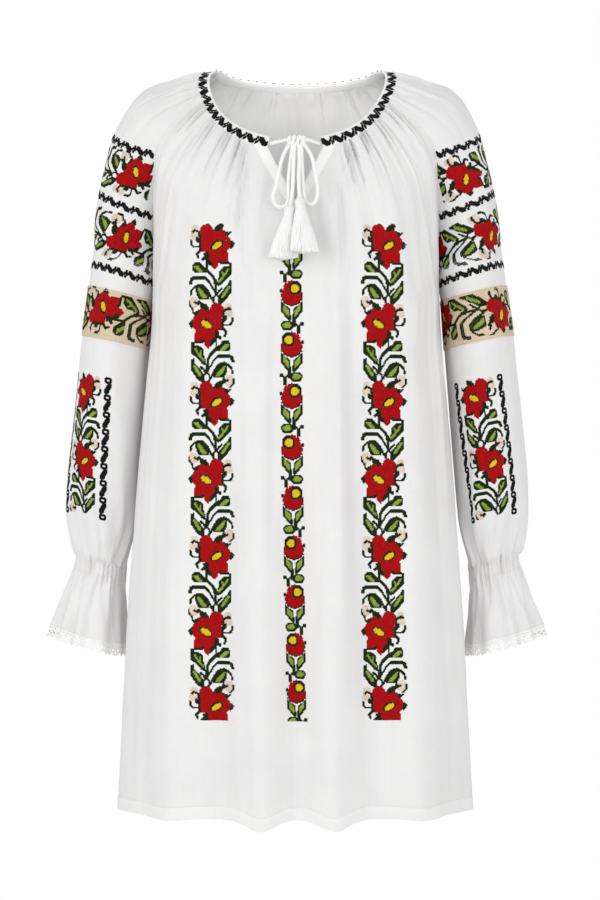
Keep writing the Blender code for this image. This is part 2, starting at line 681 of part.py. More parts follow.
def add_tassel(name, finish):
    """A bound head whose under side is parted into roots, each drawn down into a strand."""
    top, bottom, spread_x, spread_y = TASSELS[name]
    top, bottom = np.array(top), np.array(bottom)
    down = (bottom - top) / np.linalg.norm(bottom - top)
    radius = TASSEL_HEAD / 2
    points, faces, strands = [], [], []

    def ring(height, across, count=TASSEL_SPOKES):
        first = len(points)
        for i in range(count):
            angle = 2 * math.pi * i / count
            points.append(top + down * height + np.array([math.cos(angle), math.sin(angle), 0]) * across)
        return list(range(first, first + count))

    profile = ((0.0, 0.45), (0.15, 0.85), (0.5, 1.0), (0.85, 0.8), (1.0, 0.95))
    rings = [ring(TASSEL_HEAD_LENGTH * h, radius * r) for h, r in profile]
    points.append(top)
    for i in range(TASSEL_SPOKES):
        faces.append((len(points) - 1, rings[0][i], rings[0][(i + 1) % TASSEL_SPOKES]))
    for upper, lower in zip(rings, rings[1:]):
        for i in range(TASSEL_SPOKES):
            j = (i + 1) % TASSEL_SPOKES
            faces.append((upper[i], lower[i], lower[j], upper[j]))
    # The under side: rings of roots, from the rim inward to a closed middle.
    rim = rings[-1]
    for level in range(1, TASSEL_RINGS + 1):
        inner = ring(TASSEL_HEAD_LENGTH, radius * 0.95 * (1 - level / (TASSEL_RINGS + 0.6)))
        for i in range(TASSEL_SPOKES):
            j = (i + 1) % TASSEL_SPOKES
            faces.append((rim[i], inner[i], inner[j], rim[j]))
            strands.append(len(faces) - 1)
        rim = inner
    faces.append(tuple(rim))

    mesh = bpy.data.meshes.new(name)
    mesh.from_pydata([tuple(p) for p in points], [], faces)
    shape = bmesh.new()
    shape.from_mesh(mesh)
    bmesh.ops.recalc_face_normals(shape, faces=shape.faces)
    shape.faces.ensure_lookup_table()
    roots = [shape.faces[i] for i in strands]
    bmesh.ops.inset_individual(shape, faces=roots, thickness=0.0002)
    neck = top + down * TASSEL_HEAD_LENGTH
    drawn = bmesh.ops.extrude_discrete_faces(shape, faces=roots)["faces"]
    for number, face in enumerate(drawn):
        middle = np.array(face.calc_center_median())
        offset = (middle - neck) / radius
        uneven = 1 - 0.05 * (0.5 + 0.5 * math.sin(2.3 * number))
        end = top + (bottom - top) * uneven
        end = end + np.array([offset[0] * spread_x, offset[1] * spread_y, 0])
        for corner in face.verts:
            shift = (np.array(corner.co) - middle) * 1.5
            corner.co = tuple(end + shift)
    shape.to_mesh(mesh)
    shape.free()
    mesh.shade_flat()
    add_object(name, mesh, finish)


def main():
    for old in list(bpy.data.objects):
        bpy.data.objects.remove(old)
    cotton = material("white_cotton", (0.86, 0.86, 0.84), 0.85)
    linen = material("tan_linen", (0.72, 0.58, 0.42), 0.9)
    black = material("black_thread", (0.01, 0.01, 0.01), 0.7)

    skin = Skin()
    for side, hand in ((1, "left"), (-1, "right")):
        skin.add("front", [front_row(side, n) for n in YOKE_ROWS + BODY_ROWS], side)
        skin.add("back", [back_row(side, n) for n in YOKE_ROWS + BODY_ROWS], side)
        skin.add(f"sleeve_{hand}", [sleeve_row(n) for n in YOKE_ROWS + ARM_ROWS], side)
        frill = {n: sleeve_row(n) for n in FRILL_ROWS}
        skin.add(f"cuff_band_{hand}", [frill[n] for n in (WRIST, 14.5, CUFF_END)], side)
        skin.add(f"ruffle_{hand}", [frill[n] for n in (CUFF_END, 16, 17, RUFFLE_END)], side)
        skin.add(f"lace_{hand}", [frill[RUFFLE_END], lace_edge()], side)
    skin.settle()
    turned_below = section(FRONT_TABLE, (BODY_ROWS[-3] + HEM_TURN) / 2)[0]
    hem = np.where(skin.points[:, 2] < turned_below, HEM_WALL, WALL)
    add_panel(skin, "front", cotton, hem)
    add_panel(skin, "back", cotton, hem)
    for hand in ("left", "right"):
        add_panel(skin, f"sleeve_{hand}", cotton)
        add_panel(skin, f"cuff_band_{hand}", cotton)
        add_panel(skin, f"ruffle_{hand}", cotton)
        add_panel(skin, f"lace_{hand}", cotton)
        add_laid(skin, f"facing_{hand}", cotton, facing_faces(skin, hand), FACING_WALL)
        add_laid(skin, f"tan_band_{hand}", linen, tan_faces(skin, hand), TAN_WALL)
    band_ends = add_neckband(black, cotton)
    for name, route in tie_lines(band_ends).items():
        add_tube(name, cotton, smooth_route(route, CORD_STEP), CORD)
    add_knot(cotton)
    for name in TASSELS:
        add_tassel(name, cotton)


main()
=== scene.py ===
# %% [markdown]
# # A Romanian ie
# This is a long peasant blouse: cotton gathered into a neckband, a tied slit, sleeves with
# embroidered bands, and shirred wrists with a lace-edged frill. The scene dresses a packed
# frame whose solids are the blouse's own pieces, so every piece here replaces a node and
# stays where that node is. The frame comes first.

import json
import math
from contextlib import contextmanager

import bmesh
import bpy
import numpy as np
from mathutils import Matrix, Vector, noise
from mathutils.bvhtree import BVHTree

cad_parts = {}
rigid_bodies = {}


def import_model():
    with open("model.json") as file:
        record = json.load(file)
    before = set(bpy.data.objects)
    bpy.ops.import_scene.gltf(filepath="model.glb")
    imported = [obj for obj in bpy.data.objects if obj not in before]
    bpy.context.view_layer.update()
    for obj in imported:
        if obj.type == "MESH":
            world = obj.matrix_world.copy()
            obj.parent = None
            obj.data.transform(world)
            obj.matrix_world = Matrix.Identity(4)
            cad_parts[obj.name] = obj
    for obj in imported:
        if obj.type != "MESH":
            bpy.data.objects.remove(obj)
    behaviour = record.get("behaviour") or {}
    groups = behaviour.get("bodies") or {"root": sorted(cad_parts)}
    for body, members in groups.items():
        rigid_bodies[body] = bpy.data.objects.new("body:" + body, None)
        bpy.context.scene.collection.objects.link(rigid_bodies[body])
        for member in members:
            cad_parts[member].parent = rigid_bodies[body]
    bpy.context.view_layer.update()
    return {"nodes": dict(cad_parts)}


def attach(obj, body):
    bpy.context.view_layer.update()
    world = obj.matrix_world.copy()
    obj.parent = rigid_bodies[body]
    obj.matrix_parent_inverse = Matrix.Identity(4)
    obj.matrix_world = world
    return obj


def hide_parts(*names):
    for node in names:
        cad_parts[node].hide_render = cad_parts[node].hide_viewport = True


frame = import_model()
print("nodes in the frame:", len(frame["nodes"]))

# %% [markdown]
# ## Camera and light
# The blouse is seen straight on, from 3 m off and at its middle height, with a long lens, so
# its sides stay upright. White cotton on a white ground needs light from all round, and a
# little more from one side, or its folds would not show: a soft world, a large lamp in front
# of each shoulder and a broad one by the camera. Two narrow beams reach the inner sides of
# the sleeves, and a small lamp inside the neck lights the back's lining side. The world is
# pure white where the camera sees it, and dimmer where it only lights the cloth.

# %% Camera
def placed(name, data):
    """A new object of the scene that holds this data."""
    made = bpy.data.objects.new(name, data)
    bpy.context.scene.collection.objects.link(made)
    return made


CAMERA_PLACE = Vector((0.0018, -3.0, -0.45))
camera_data = bpy.data.cameras.new("camera")
camera_data.lens = 100
camera_data.sensor_width = 36
camera = placed("camera", camera_data)
camera.location = CAMERA_PLACE
camera.rotation_euler = (math.radians(90), 0, 0)
bpy.context.scene.camera = camera

# %% Lamps and world
def add_lamp(name, place, towards, size, power, spread=180):
    lamp = bpy.data.lights.new(name, "AREA")
    lamp.shape = "RECTANGLE"
    lamp.size, lamp.size_y = size
    lamp.energy, lamp.spread = power, math.radians(spread)
    made = placed(name, lamp)
    made.location = place
    made.rotation_mode = "QUATERNION"
    made.rotation_quaternion = (Vector(towards) - Vector(place)).to_track_quat("-Z", "Y")


add_lamp("key_lamp", (-2.3, -1.7, 0.5), (0, 0, -0.45), (1.2, 1.4), 16)
add_lamp("side_lamp", (2.4, -1.4, 0.1), (0, 0, -0.5), (1.0, 1.8), 8)
add_lamp("front_lamp", (0.0, -3.6, -0.2), (0, 0, -0.45), (3.0, 2.4), 13)
add_lamp("left_fill", (1.5, -2.5, -0.5), (-0.22, 0, -0.5), (0.8, 1.2), 1.2, 60)
add_lamp("right_fill", (-1.5, -2.5, -0.5), (0.22, 0, -0.5), (0.8, 1.2), 1.0, 60)
add_lamp("inner_lamp", (0.0, -0.05, -0.03), (0, 0.1, -0.035), (0.16, 0.03), 0.054, 125)
WORLD_LIGHT = 0.71
world = bpy.data.worlds.new("studio")
world.use_nodes = True
seen = world.node_tree.nodes.new("ShaderNodeLightPath")
strength = world.node_tree.nodes.new("ShaderNodeMix")
world.node_tree.links.new(seen.outputs["Is Camera Ray"], strength.inputs[0])
strength.inputs[2].default_value, strength.inputs[3].default_value = WORLD_LIGHT, 1.0
ground = world.node_tree.nodes["Background"]
ground.inputs["Color"].default_value = (1, 1, 1, 1)
world.node_tree.links.new(strength.outputs[0], ground.inputs["Strength"])
bpy.context.scene.world = world
bpy.context.scene.view_settings.view_transform = "Standard"

# %% [markdown]
# ## The cut of the cloth
# Front, back and sleeves are each described by sections: closed or open lines that a tape
# measure would follow round the wearer, numbered from the neckline down to the hem or the
# lace. Each row of numbers below is one section in metres. Any section between two rows
# comes from a smooth curve through them, so the cloth can be made as fine as it needs.

# %% Tables of sections
FRONT_SECTIONS = (  # z_mid, z_seam, y_mid, half_width, y_wide, y_far, y_seam
    (-0.101, -0.034, -0.104, 0.1165, 0.010, 0.090, -0.030),
    (-0.128, -0.050, -0.112, 0.1390, 0.000, 0.095, -0.042),
    (-0.158, -0.070, -0.119, 0.1580, -0.012, 0.100, -0.050),
    (-0.192, -0.095, -0.125, 0.1685, -0.025, 0.105, -0.052),
    (-0.228, -0.132, -0.130, 0.1695, -0.030, 0.108, -0.045),
    (-0.262, -0.175, -0.133, 0.1690, -0.030, 0.110, -0.032),
    (-0.288, -0.212, -0.134, 0.1685, -0.030, 0.110, -0.016),
    (-0.305, -0.238, -0.135, 0.1680, -0.030, 0.110, 0.000),
)
BACK_SECTIONS = (
    (-0.010, -0.001, 0.078, 0.1165, 0.010, -0.104, 0.052),
    (-0.030, -0.014, 0.092, 0.1420, 0.010, -0.100, 0.064),
    (-0.058, -0.036, 0.100, 0.1660, 0.005, -0.100, 0.070),
    (-0.096, -0.070, 0.106, 0.1820, 0.000, -0.100, 0.070),
    (-0.142, -0.118, 0.109, 0.1860, -0.010, -0.110, 0.060),
    (-0.188, -0.168, 0.110, 0.1800, -0.020, -0.120, 0.044),
    (-0.225, -0.210, 0.110, 0.1730, -0.027, -0.130, 0.022),
    (-0.252, -0.238, 0.110, 0.1680, -0.030, -0.135, 0.000),
)
BODY_SECTIONS = (  # z_front, z_side, z_back, half_width, y_front, y_back
    (-0.350, -0.310, -0.318, 0.1700, -0.137, 0.111),
    (-0.435, -0.415, -0.420, 0.1790, -0.140, 0.113),
    (-0.540, -0.530, -0.530, 0.1872, -0.143, 0.115),
    (-0.650, -0.645, -0.645, 0.1950, -0.146, 0.117),
    (-0.770, -0.768, -0.768, 0.2015, -0.149, 0.119),
    (-0.873, -0.873, -0.873, 0.2068, -0.151, 0.121),
)
BODY_Y_WIDE = -0.030
SHOULDER_RIDGE = (  # x, y, z, wrap_degrees
    (0.1165, 0.012, 0.0020, 60.0),
    (0.1520, 0.014, -0.0055, 72.0),
    (0.1885, 0.014, -0.0190, 80.0),
    (0.2145, 0.012, -0.0620, 97.0),
    (0.2262, 0.009, -0.1040, 120.0),
    (0.2346, 0.006, -0.1420, 140.0),
    (0.2394, 0.003, -0.1740, 160.5),
    (0.2432, 0.000, -0.2070, 180.0),
)
ARM_RINGS = (  # z_inner, z_outer, x_inner, x_outer, half_depth
    (-0.2380, -0.2070, 0.1641, 0.2432, 0.0580),
    (-0.2720, -0.2532, 0.1715, 0.2494, 0.0580),
    (-0.3306, -0.3132, 0.1760, 0.2575, 0.0590),
    (-0.4080, -0.3920, 0.1820, 0.2660, 0.0590),
    (-0.4830, -0.4720, 0.1880, 0.2743, 0.0570),
    (-0.5380, -0.5250, 0.1935, 0.2758, 0.0510),
    (-0.5770, -0.5630, 0.2030, 0.2685, 0.0405),
    (-0.5920, -0.5765, 0.2075, 0.2634, 0.0340),
    (-0.6060, -0.5905, 0.2078, 0.2660, 0.0345),
    (-0.6300, -0.6100, 0.2065, 0.2755, 0.0400),
    (-0.6560, -0.6340, 0.2060, 0.2835, 0.0450),
    (-0.6820, -0.6585, 0.2050, 0.2910, 0.0500),
    (-0.6970, -0.6725, 0.2045, 0.2950, 0.0525),
)
ARMPIT, HEM = 7, 13
LAST_ARC = 6.2
TAN_TOP, TAN_BOTTOM = 8, 9
WRIST, CUFF_END, RUFFLE_END, LACE_END = 14, 15, 18, 19
SLIT_END, CHEST = 2.1, 4.0
SLIT_HALF_TOP, SLIT_TOP_Z, SLIT_BOTTOM_Z = 0.032, -0.101, -0.162
FACING_TOP, FACING_BOTTOM = 0.018, 0.012
FRONT_DRIFT, DRIFT_FROM, DRIFT_OVER = -0.0038, 0.03, 0.09
BODY_CLEARANCE, SEAM_REACH, CLEAR_OVER, FRONT_ROUND = 0.0035, 0.03, 0.5, 2.2
FACING_COLUMNS, FRONT_COLUMNS, SLEEVE_COLUMNS, BACK_COLUMNS, EVEN_OVER = 3, 29, 20, 24, 2
LINE_POINTS, RING_POINTS, NUDGE = 400, 241, 0.001
SIDES = {"left": 1, "right": -1}  # the wearer's left is towards +X

# %% [markdown]
# ## From sections to surfaces
# `section` reads a table at any height. The `line` functions turn that into a dense line
# over the cloth, and `along` walks the line at even distances, as cloth lies. An oval whose
# front is squarer than an ellipse gives the body; an arc over the shoulder, which opens into
# a ring below the armpit, gives the sleeve.

# %% Reading the tables
def with_body(own, is_front):
    """A yoke table with the body's sections added, so that it runs from neck to hem."""
    rows = list(own)
    for z_front, z_side, z_back, half_width, y_front, y_back in BODY_SECTIONS:
        z_mid, y_mid, y_far = (z_front, y_front, y_back) if is_front else (z_back, y_back, y_front)
        rows.append((z_mid, z_side, y_mid, half_width, BODY_Y_WIDE, y_far, 0.0))
    return np.array(rows)


FRONT_TABLE = with_body(FRONT_SECTIONS, True)
BACK_TABLE = with_body(BACK_SECTIONS, False)


def section(table, number):
    """The table's columns at a section number that may lie between rows (Catmull-Rom)."""
    table = np.asarray(table)
    if len(table) == HEM + 1 and number >= ARMPIT:
        table, number = table[ARMPIT:], number - ARMPIT
    number = min(max(number, 0.0), len(table) - 1.0)
    low = min(int(number), len(table) - 2)
    t = number - low
    p1, p2 = table[low], table[low + 1]
    p0 = table[low - 1] if low else 2 * p1 - p2
    p3 = table[low + 2] if low + 2 < len(table) else 2 * p2 - p1
    bend = 2 * p0 - 5 * p1 + 4 * p2 - p3
    twist = 3 * p1 - p0 - 3 * p2 + p3
    return 0.5 * (2 * p1 + (p2 - p0) * t + bend * t * t + twist * t**3)


def smooth(t):
    t = np.clip(t, 0.0, 1.0)
    return t * t * (3 - 2 * t)


def line_length(line):
    return np.linalg.norm(np.diff(line, axis=0), axis=1).sum()


def run_along(line):
    """How far along the line each of its points lies."""
    return np.concatenate([[0], np.cumsum(np.linalg.norm(np.diff(line, axis=0), axis=1))])


def read_at(distances, run, values):
    """Vectors that are known at the points of a run, read at these distances along it."""
    return np.stack([np.interp(distances, run, values[:, axis]) for axis in range(3)], axis=1)


def along(line, distances):
    """Points at these distances along a dense line."""
    return read_at(distances, run_along(line), line)


def ahead_on(line, distances):
    """Which way the line runs at these distances."""
    return (along(line, distances + NUDGE) - along(line, distances - NUDGE)) * (0.5 / NUDGE)


def unit(vectors):
    return vectors / np.linalg.norm(vectors, axis=1, keepdims=True)


def front_drift(y):
    """How far the front of the blouse hangs to one side; its back doesn't."""
    return FRONT_DRIFT * smooth((DRIFT_FROM - y) / DRIFT_OVER)


# %% Lines over the cloth
def oval_x(y, half_width, y_wide, y_front, y_back):
    """Half the width of a section of the body at depth y."""
    front = np.clip((y_wide - y) / (y_wide - y_front), 0, 1) ** FRONT_ROUND
    back = np.clip((y - y_wide) / (y_back - y_wide), 0, 1) ** 2
    return half_width * np.where(y < y_wide, (1 - front) ** (1 / FRONT_ROUND), (1 - back) ** 0.5)


def slit_half_width(number):
    z = section(FRONT_TABLE, number)[0]
    return SLIT_HALF_TOP * max(z - SLIT_BOTTOM_Z, 0.0) / (SLIT_TOP_Z - SLIT_BOTTOM_Z)


def panel_line(table, number, start_x=0.0):
    """A dense line over half of a front or back section, from its middle to its seam."""
    z_mid, z_seam, y_mid, half_width, y_wide, y_far, y_seam = section(table, number)
    ends = (y_mid, y_far) if y_mid < y_wide else (y_far, y_mid)
    share = (1 - np.cos(np.linspace(0, math.pi, LINE_POINTS))) / 2
    y = y_mid + (y_seam - y_mid) * share**2
    x = oval_x(y, half_width, y_wide, *ends)
    z = z_mid + (z_seam - z_mid) * share**2
    if start_x > 0:
        first = int(np.argmax(x > start_x))
        t = (start_x - x[first - 1]) / (x[first] - x[first - 1])
        start = [a[first - 1] + t * (a[first] - a[first - 1]) for a in (x, y, z)]
        x, y, z = (np.concatenate([[s], a[first:]]) for s, a in zip(start, (x, y, z)))
    return np.stack([x, y, z], axis=1)


def kept_clear(points, outline, clearance):
    """Sleeve points moved out to where they clear the body's outline."""
    out = points.copy()
    out[:, 0] = np.maximum(points[:, 0], oval_x(points[:, 1], *outline) + clearance)
    return out


def yoke_sleeve_line(number):
    """The sleeve's section above the armpit: from its front seam, over the ridge, to its back."""
    front = panel_line(FRONT_TABLE, number)[-1]
    back = panel_line(BACK_TABLE, number)[-1]
    x, y, z, wrap_degrees = section(SHOULDER_RIDGE, number)
    wrap = math.radians(wrap_degrees)
    middle, half = (front + back) / 2, (back - front) / 2
    angle = np.linspace(-wrap, wrap, RING_POINTS)[:, None]
    out = (np.cos(angle) - math.cos(wrap)) / (1 - math.cos(wrap))
    line = middle + (np.array([x, y, z]) - middle) * out + half * np.sin(angle) / math.sin(wrap)
    _, _, y_mid, half_width, y_wide, y_far, y_seam = section(FRONT_TABLE, number)
    beside = np.clip(np.linalg.norm(line - front, axis=1) / SEAM_REACH, 0, 1) * BODY_CLEARANCE
    cleared = kept_clear(line, (half_width, y_wide, y_mid, y_far), beside)
    return np.where((line[:, 1] < y_seam)[:, None], cleared, line)


def ring_line(number):
    """A closed line round the arm, from the seam under it, by the front, and back."""
    z_inner, z_outer, x_inner, x_outer, half_depth = section(ARM_RINGS, number - ARMPIT)
    angle = np.linspace(0, math.tau, RING_POINTS)
    out = (1 - np.cos(angle)) / 2
    sides = (x_inner + (x_outer - x_inner) * out, -half_depth * np.sin(angle))
    line = np.stack([*sides, z_inner + (z_outer - z_inner) * out], axis=1)
    level = np.interp(-z_inner, -FRONT_TABLE[:, 1], np.arange(len(FRONT_TABLE)))
    _, _, y_mid, half_width, y_wide, y_far, _ = section(FRONT_TABLE, level)
    away = BODY_CLEARANCE * smooth((number - ARMPIT) / CLEAR_OVER)
    if number == ARMPIT:
        away = BODY_CLEARANCE * np.clip(np.linalg.norm(line - line[0], axis=1) / SEAM_REACH, 0, 1)
    return kept_clear(line, (half_width, y_wide, y_mid, y_far), away)


def closing_line(number):
    """Between the last arc over the shoulder and the first whole ring round the arm."""
    t = (number - LAST_ARC) / (ARMPIT - LAST_ARC)
    line = (1 - t) * yoke_sleeve_line(LAST_ARC) + t * ring_line(ARMPIT)
    share = np.linspace(0, 1, len(line))[:, None]
    front, back = panel_line(FRONT_TABLE, number)[-1], panel_line(BACK_TABLE, number)[-1]
    return line + (front - line[0]) * (1 - share) ** 3 + (back - line[-1]) * share**3


def sleeve_line(number):
    if number <= LAST_ARC:
        return yoke_sleeve_line(number)
    return closing_line(number) if number < ARMPIT else ring_line(number)


def front_distances(number, length, columns):
    """The first columns keep the facing's width along the slit; the rest are even."""
    facing = FACING_TOP + (FACING_BOTTOM - FACING_TOP) * min(number / SLIT_END, 1.0)
    even = length * FACING_COLUMNS / FRONT_COLUMNS
    wide = facing + (even - facing) * smooth((number - SLIT_END) / EVEN_OVER)
    marks = (0, FACING_COLUMNS, FRONT_COLUMNS)
    return np.interp(columns, marks, (0, wide, length))


print("neckline to hem in front:", round(-FRONT_TABLE[-1, 0] + FRONT_TABLE[0, 0], 3), "m")

# %% [markdown]
# ## Folds, gathers and crumple
# A gathered blouse has three scales of relief. Broad folds open towards the hem, gathers run
# out unevenly below the band and above the wrists, and thin cotton is crumpled all over. The
# broad ones are listed, one row each. The gathers are waves whose height and length
# change from one to the next. The crumple is a noise that is stretched along the cloth.

# %% Folds listed one by one
BROAD_FOLDS = {  # side, at_neck, at_chest, at_hem, chest, hem, width, drop
    "front": (
        (-1, 0.20, 0.22, 0.13, 0.0050, 0.0120, 0.070, 0.0115),
        (-1, 0.52, 0.50, 0.50, 0.0030, 0.0090, 0.085, 0.0030),
        (-1, 0.90, 0.84, 0.82, 0.0010, 0.0040, 0.070, 0.0000),
        (1, 0.12, 0.20, 0.15, 0.0050, 0.0120, 0.070, 0.0110),
        (1, 0.50, 0.53, 0.51, 0.0030, 0.0090, 0.085, 0.0035),
        (1, 0.88, 0.86, 0.83, 0.0010, 0.0040, 0.070, 0.0000),
    ),
    "back": (
        (-1, 0.10, 0.12, 0.16, 0.0040, 0.0110, 0.075, 0.0080),
        (-1, 0.55, 0.52, 0.55, 0.0025, 0.0090, 0.090, 0.0020),
        (1, 0.05, 0.08, 0.12, 0.0030, 0.0100, 0.080, 0.0060),
        (1, 0.45, 0.48, 0.50, 0.0030, 0.0095, 0.090, 0.0040),
    ),
}
CENTRE_HOLLOW = 0.0035
# side, share at its start and end, section at its start and end, height, half-width in shares
NARROW_FOLDS = {
    "front": (
        (-1, 0.95, 0.93, 0.0, 4.2, -0.0022, 0.016),
        (-1, 0.90, 0.89, 0.0, 5.5, 0.0018, 0.020),
        (-1, 0.80, 0.86, 0.0, 3.8, -0.0020, 0.014),
        (-1, 0.66, 0.70, 0.0, 3.0, -0.0014, 0.012),
        (-1, 0.55, 0.57, 0.0, 3.4, -0.0014, 0.012),
        (-1, 0.44, 0.45, 0.0, 2.6, 0.0012, 0.012),
        (-1, 0.33, 0.36, 0.0, 4.4, -0.0013, 0.012),
        (-1, 0.330, 0.215, 0.3, 5.2, 0.0036, 0.014),
        (-1, 0.361, 0.246, 0.3, 5.2, -0.0034, 0.014),
        (-1, 0.30, 0.31, 1.5, 11.0, -0.0012, 0.018),
        (-1, 0.20, 0.18, 3.6, 11.0, -0.0032, 0.035),
        (-1, 0.12, 0.14, 5.0, 12.8, 0.0022, 0.025),
        (-1, 0.75, 0.73, 2.5, 11.5, 0.0020, 0.022),
        (-1, 0.66, 0.65, 5.0, 12.5, -0.0014, 0.020),
        (-1, 0.00, 0.00, 8.5, 21.0, -0.0075, 0.052),
        (-1, 0.30, 0.30, 8.5, 21.0, -0.0070, 0.055),
        (1, 0.97, 0.95, 0.0, 3.6, -0.0020, 0.016),
        (1, 0.87, 0.91, 0.0, 4.8, 0.0016, 0.018),
        (1, 0.76, 0.80, 0.0, 3.2, -0.0016, 0.014),
        (1, 0.62, 0.66, 0.0, 3.6, -0.0013, 0.012),
        (1, 0.50, 0.52, 0.0, 2.8, 0.0012, 0.012),
        (1, 0.38, 0.40, 0.0, 3.4, -0.0014, 0.012),
        (1, 0.240, 0.195, 1.4, 5.2, 0.0036, 0.014),
        (1, 0.271, 0.226, 1.4, 5.2, -0.0034, 0.014),
        (1, 0.17, 0.20, 4.0, 12.6, 0.0026, 0.024),
        (1, 0.24, 0.26, 5.0, 12.0, -0.0024, 0.026),
        (1, 0.76, 0.74, 3.5, 12.0, 0.0022, 0.022),
        (1, 0.68, 0.66, 6.0, 12.6, -0.0013, 0.020),
        (1, 0.00, 0.00, 8.5, 21.0, -0.0075, 0.052),
        (1, 0.30, 0.30, 8.5, 21.0, -0.0070, 0.055),
    ),
    "back": (
        (-1, 0.012, 0.006, 0.0, 3.4, -0.0022, 0.012),
        (-1, 0.30, 0.32, 0.0, 4.0, -0.0014, 0.014),
        (-1, 0.70, 0.74, 0.0, 3.0, -0.0016, 0.014),
        (-1, 0.36, 0.38, 4.0, 12.5, 0.0016, 0.024),
        (-1, 0.80, 0.76, 5.0, 12.5, 0.0015, 0.024),
        (1, 0.24, 0.26, 0.0, 5.0, -0.0014, 0.014),
        (1, 0.62, 0.66, 0.0, 3.4, 0.0014, 0.014),
        (1, 0.28, 0.30, 5.0, 12.5, 0.0016, 0.024),
        (1, 0.72, 0.70, 4.0, 12.5, -0.0013, 0.024),
    ),
    "sleeve": (
        (-1, 0.10, 0.16, 0.0, 3.4, -0.0018, 0.020),
        (-1, 0.22, 0.30, 0.0, 2.6, -0.0014, 0.018),
        (-1, 0.40, 0.44, 0.0, 2.2, 0.0012, 0.018),
        (-1, 0.20, 0.10, 9.6, 13.8, 0.0036, 0.026),
        (-1, 0.27, 0.20, 10.6, 13.9, -0.0030, 0.016),
        (-1, 0.62, 0.70, 10.0, 13.8, 0.0034, 0.026),
        (-1, 0.07, 0.02, 14.1, 11.8, -0.0034, 0.010),
        (-1, 0.11, 0.05, 14.1, 11.2, 0.0030, 0.011),
        (-1, 0.15, 0.09, 14.1, 11.6, -0.0032, 0.009),
        (-1, 0.19, 0.15, 14.1, 12.2, 0.0022, 0.010),
        (-1, 0.24, 0.22, 14.1, 12.4, -0.0020, 0.009),
        (-1, 0.33, 0.34, 14.1, 12.6, 0.0016, 0.011),
        (-1, 0.41, 0.43, 14.1, 12.3, -0.0018, 0.010),
        (-1, 0.58, 0.56, 14.1, 12.0, -0.0026, 0.011),
        (-1, 0.74, 0.76, 14.1, 12.2, 0.0024, 0.011),
        (-1, 0.88, 0.92, 14.1, 11.8, -0.0024, 0.011),
        (-1, 0.13, 0.10, 14.7, 18.0, -0.0036, 0.011),
        (-1, 0.17, 0.16, 14.7, 17.4, 0.0028, 0.012),
        (-1, 0.23, 0.25, 14.7, 17.8, -0.0026, 0.012),
        (-1, 0.31, 0.33, 14.7, 16.8, -0.0018, 0.010),
        (-1, 0.42, 0.42, 14.7, 17.6, -0.0022, 0.013),
        (-1, 0.63, 0.60, 14.7, 18.0, -0.0028, 0.012),
        (-1, 0.84, 0.86, 14.7, 17.6, 0.0026, 0.012),
        (1, 0.08, 0.14, 0.0, 3.0, -0.0018, 0.020),
        (1, 0.24, 0.30, 0.0, 2.8, 0.0013, 0.018),
        (1, 0.38, 0.42, 0.0, 2.0, -0.0012, 0.018),
        (1, 0.22, 0.12, 9.8, 13.8, 0.0036, 0.026),
        (1, 0.30, 0.22, 10.8, 13.9, -0.0028, 0.016),
        (1, 0.66, 0.72, 10.0, 13.8, 0.0032, 0.026),
        (1, 0.06, 0.02, 14.1, 12.0, -0.0030, 0.010),
        (1, 0.12, 0.06, 14.1, 11.4, 0.0030, 0.011),
        (1, 0.17, 0.12, 14.1, 12.0, -0.0026, 0.009),
        (1, 0.22, 0.20, 14.1, 12.4, 0.0018, 0.010),
        (1, 0.29, 0.29, 14.1, 12.5, -0.0020, 0.010),
        (1, 0.38, 0.40, 14.1, 11.9, -0.0028, 0.010),
        (1, 0.43, 0.46, 14.1, 11.6, 0.0026, 0.011),
        (1, 0.60, 0.62, 14.1, 12.2, -0.0024, 0.011),
        (1, 0.80, 0.78, 14.1, 12.0, 0.0024, 0.011),
        (1, 0.10, 0.08, 14.7, 17.6, -0.0030, 0.012),
        (1, 0.19, 0.19, 14.7, 17.0, -0.0024, 0.011),
        (1, 0.26, 0.28, 14.7, 18.0, 0.0028, 0.013),
        (1, 0.34, 0.37, 14.7, 17.4, -0.0030, 0.012),
        (1, 0.45, 0.46, 14.7, 16.8, -0.0018, 0.011),
        (1, 0.66, 0.69, 14.7, 17.8, -0.0028, 0.012),
        (1, 0.88, 0.87, 14.7, 17.4, 0.0024, 0.012),
    ),
}


OPENING, SIDE_FADE = 0.25, 0.12  # a fold's widening by the hem; its fading beside the seam
BROAD_OVER, HANG_FROM, HANG_OVER = 2, 11.0, 2
NARROW_IN, NARROW_OUT = 0.15, 0.5  # shares of its length over which a narrow fold fades


def broad_lift(panel, side, number, share):
    """Outward lift, and drop of the hem, of a panel's broad folds."""
    lift, drop = np.zeros(len(share)), np.zeros(len(share))
    to_chest, to_hem = smooth(number / CHEST), smooth((number - CHEST) / (HEM - CHEST))
    for fold_side, at_neck, at_chest, at_hem, chest, hem, width, hang in BROAD_FOLDS[panel]:
        middle = at_neck + (at_chest - at_neck) * to_chest + (at_hem - at_chest) * to_hem
        height = chest * smooth(number / BROAD_OVER) + (hem - chest) * to_hem
        place = share if fold_side == side else -share
        wide = width * (1 - OPENING + OPENING * to_hem)
        ridge = np.exp(-(((place - middle) / wide) ** 2))
        lift += height * ridge
        drop += hang * ridge * smooth((number - HANG_FROM) / HANG_OVER)
    return lift * smooth((1 - share) / SIDE_FADE), drop


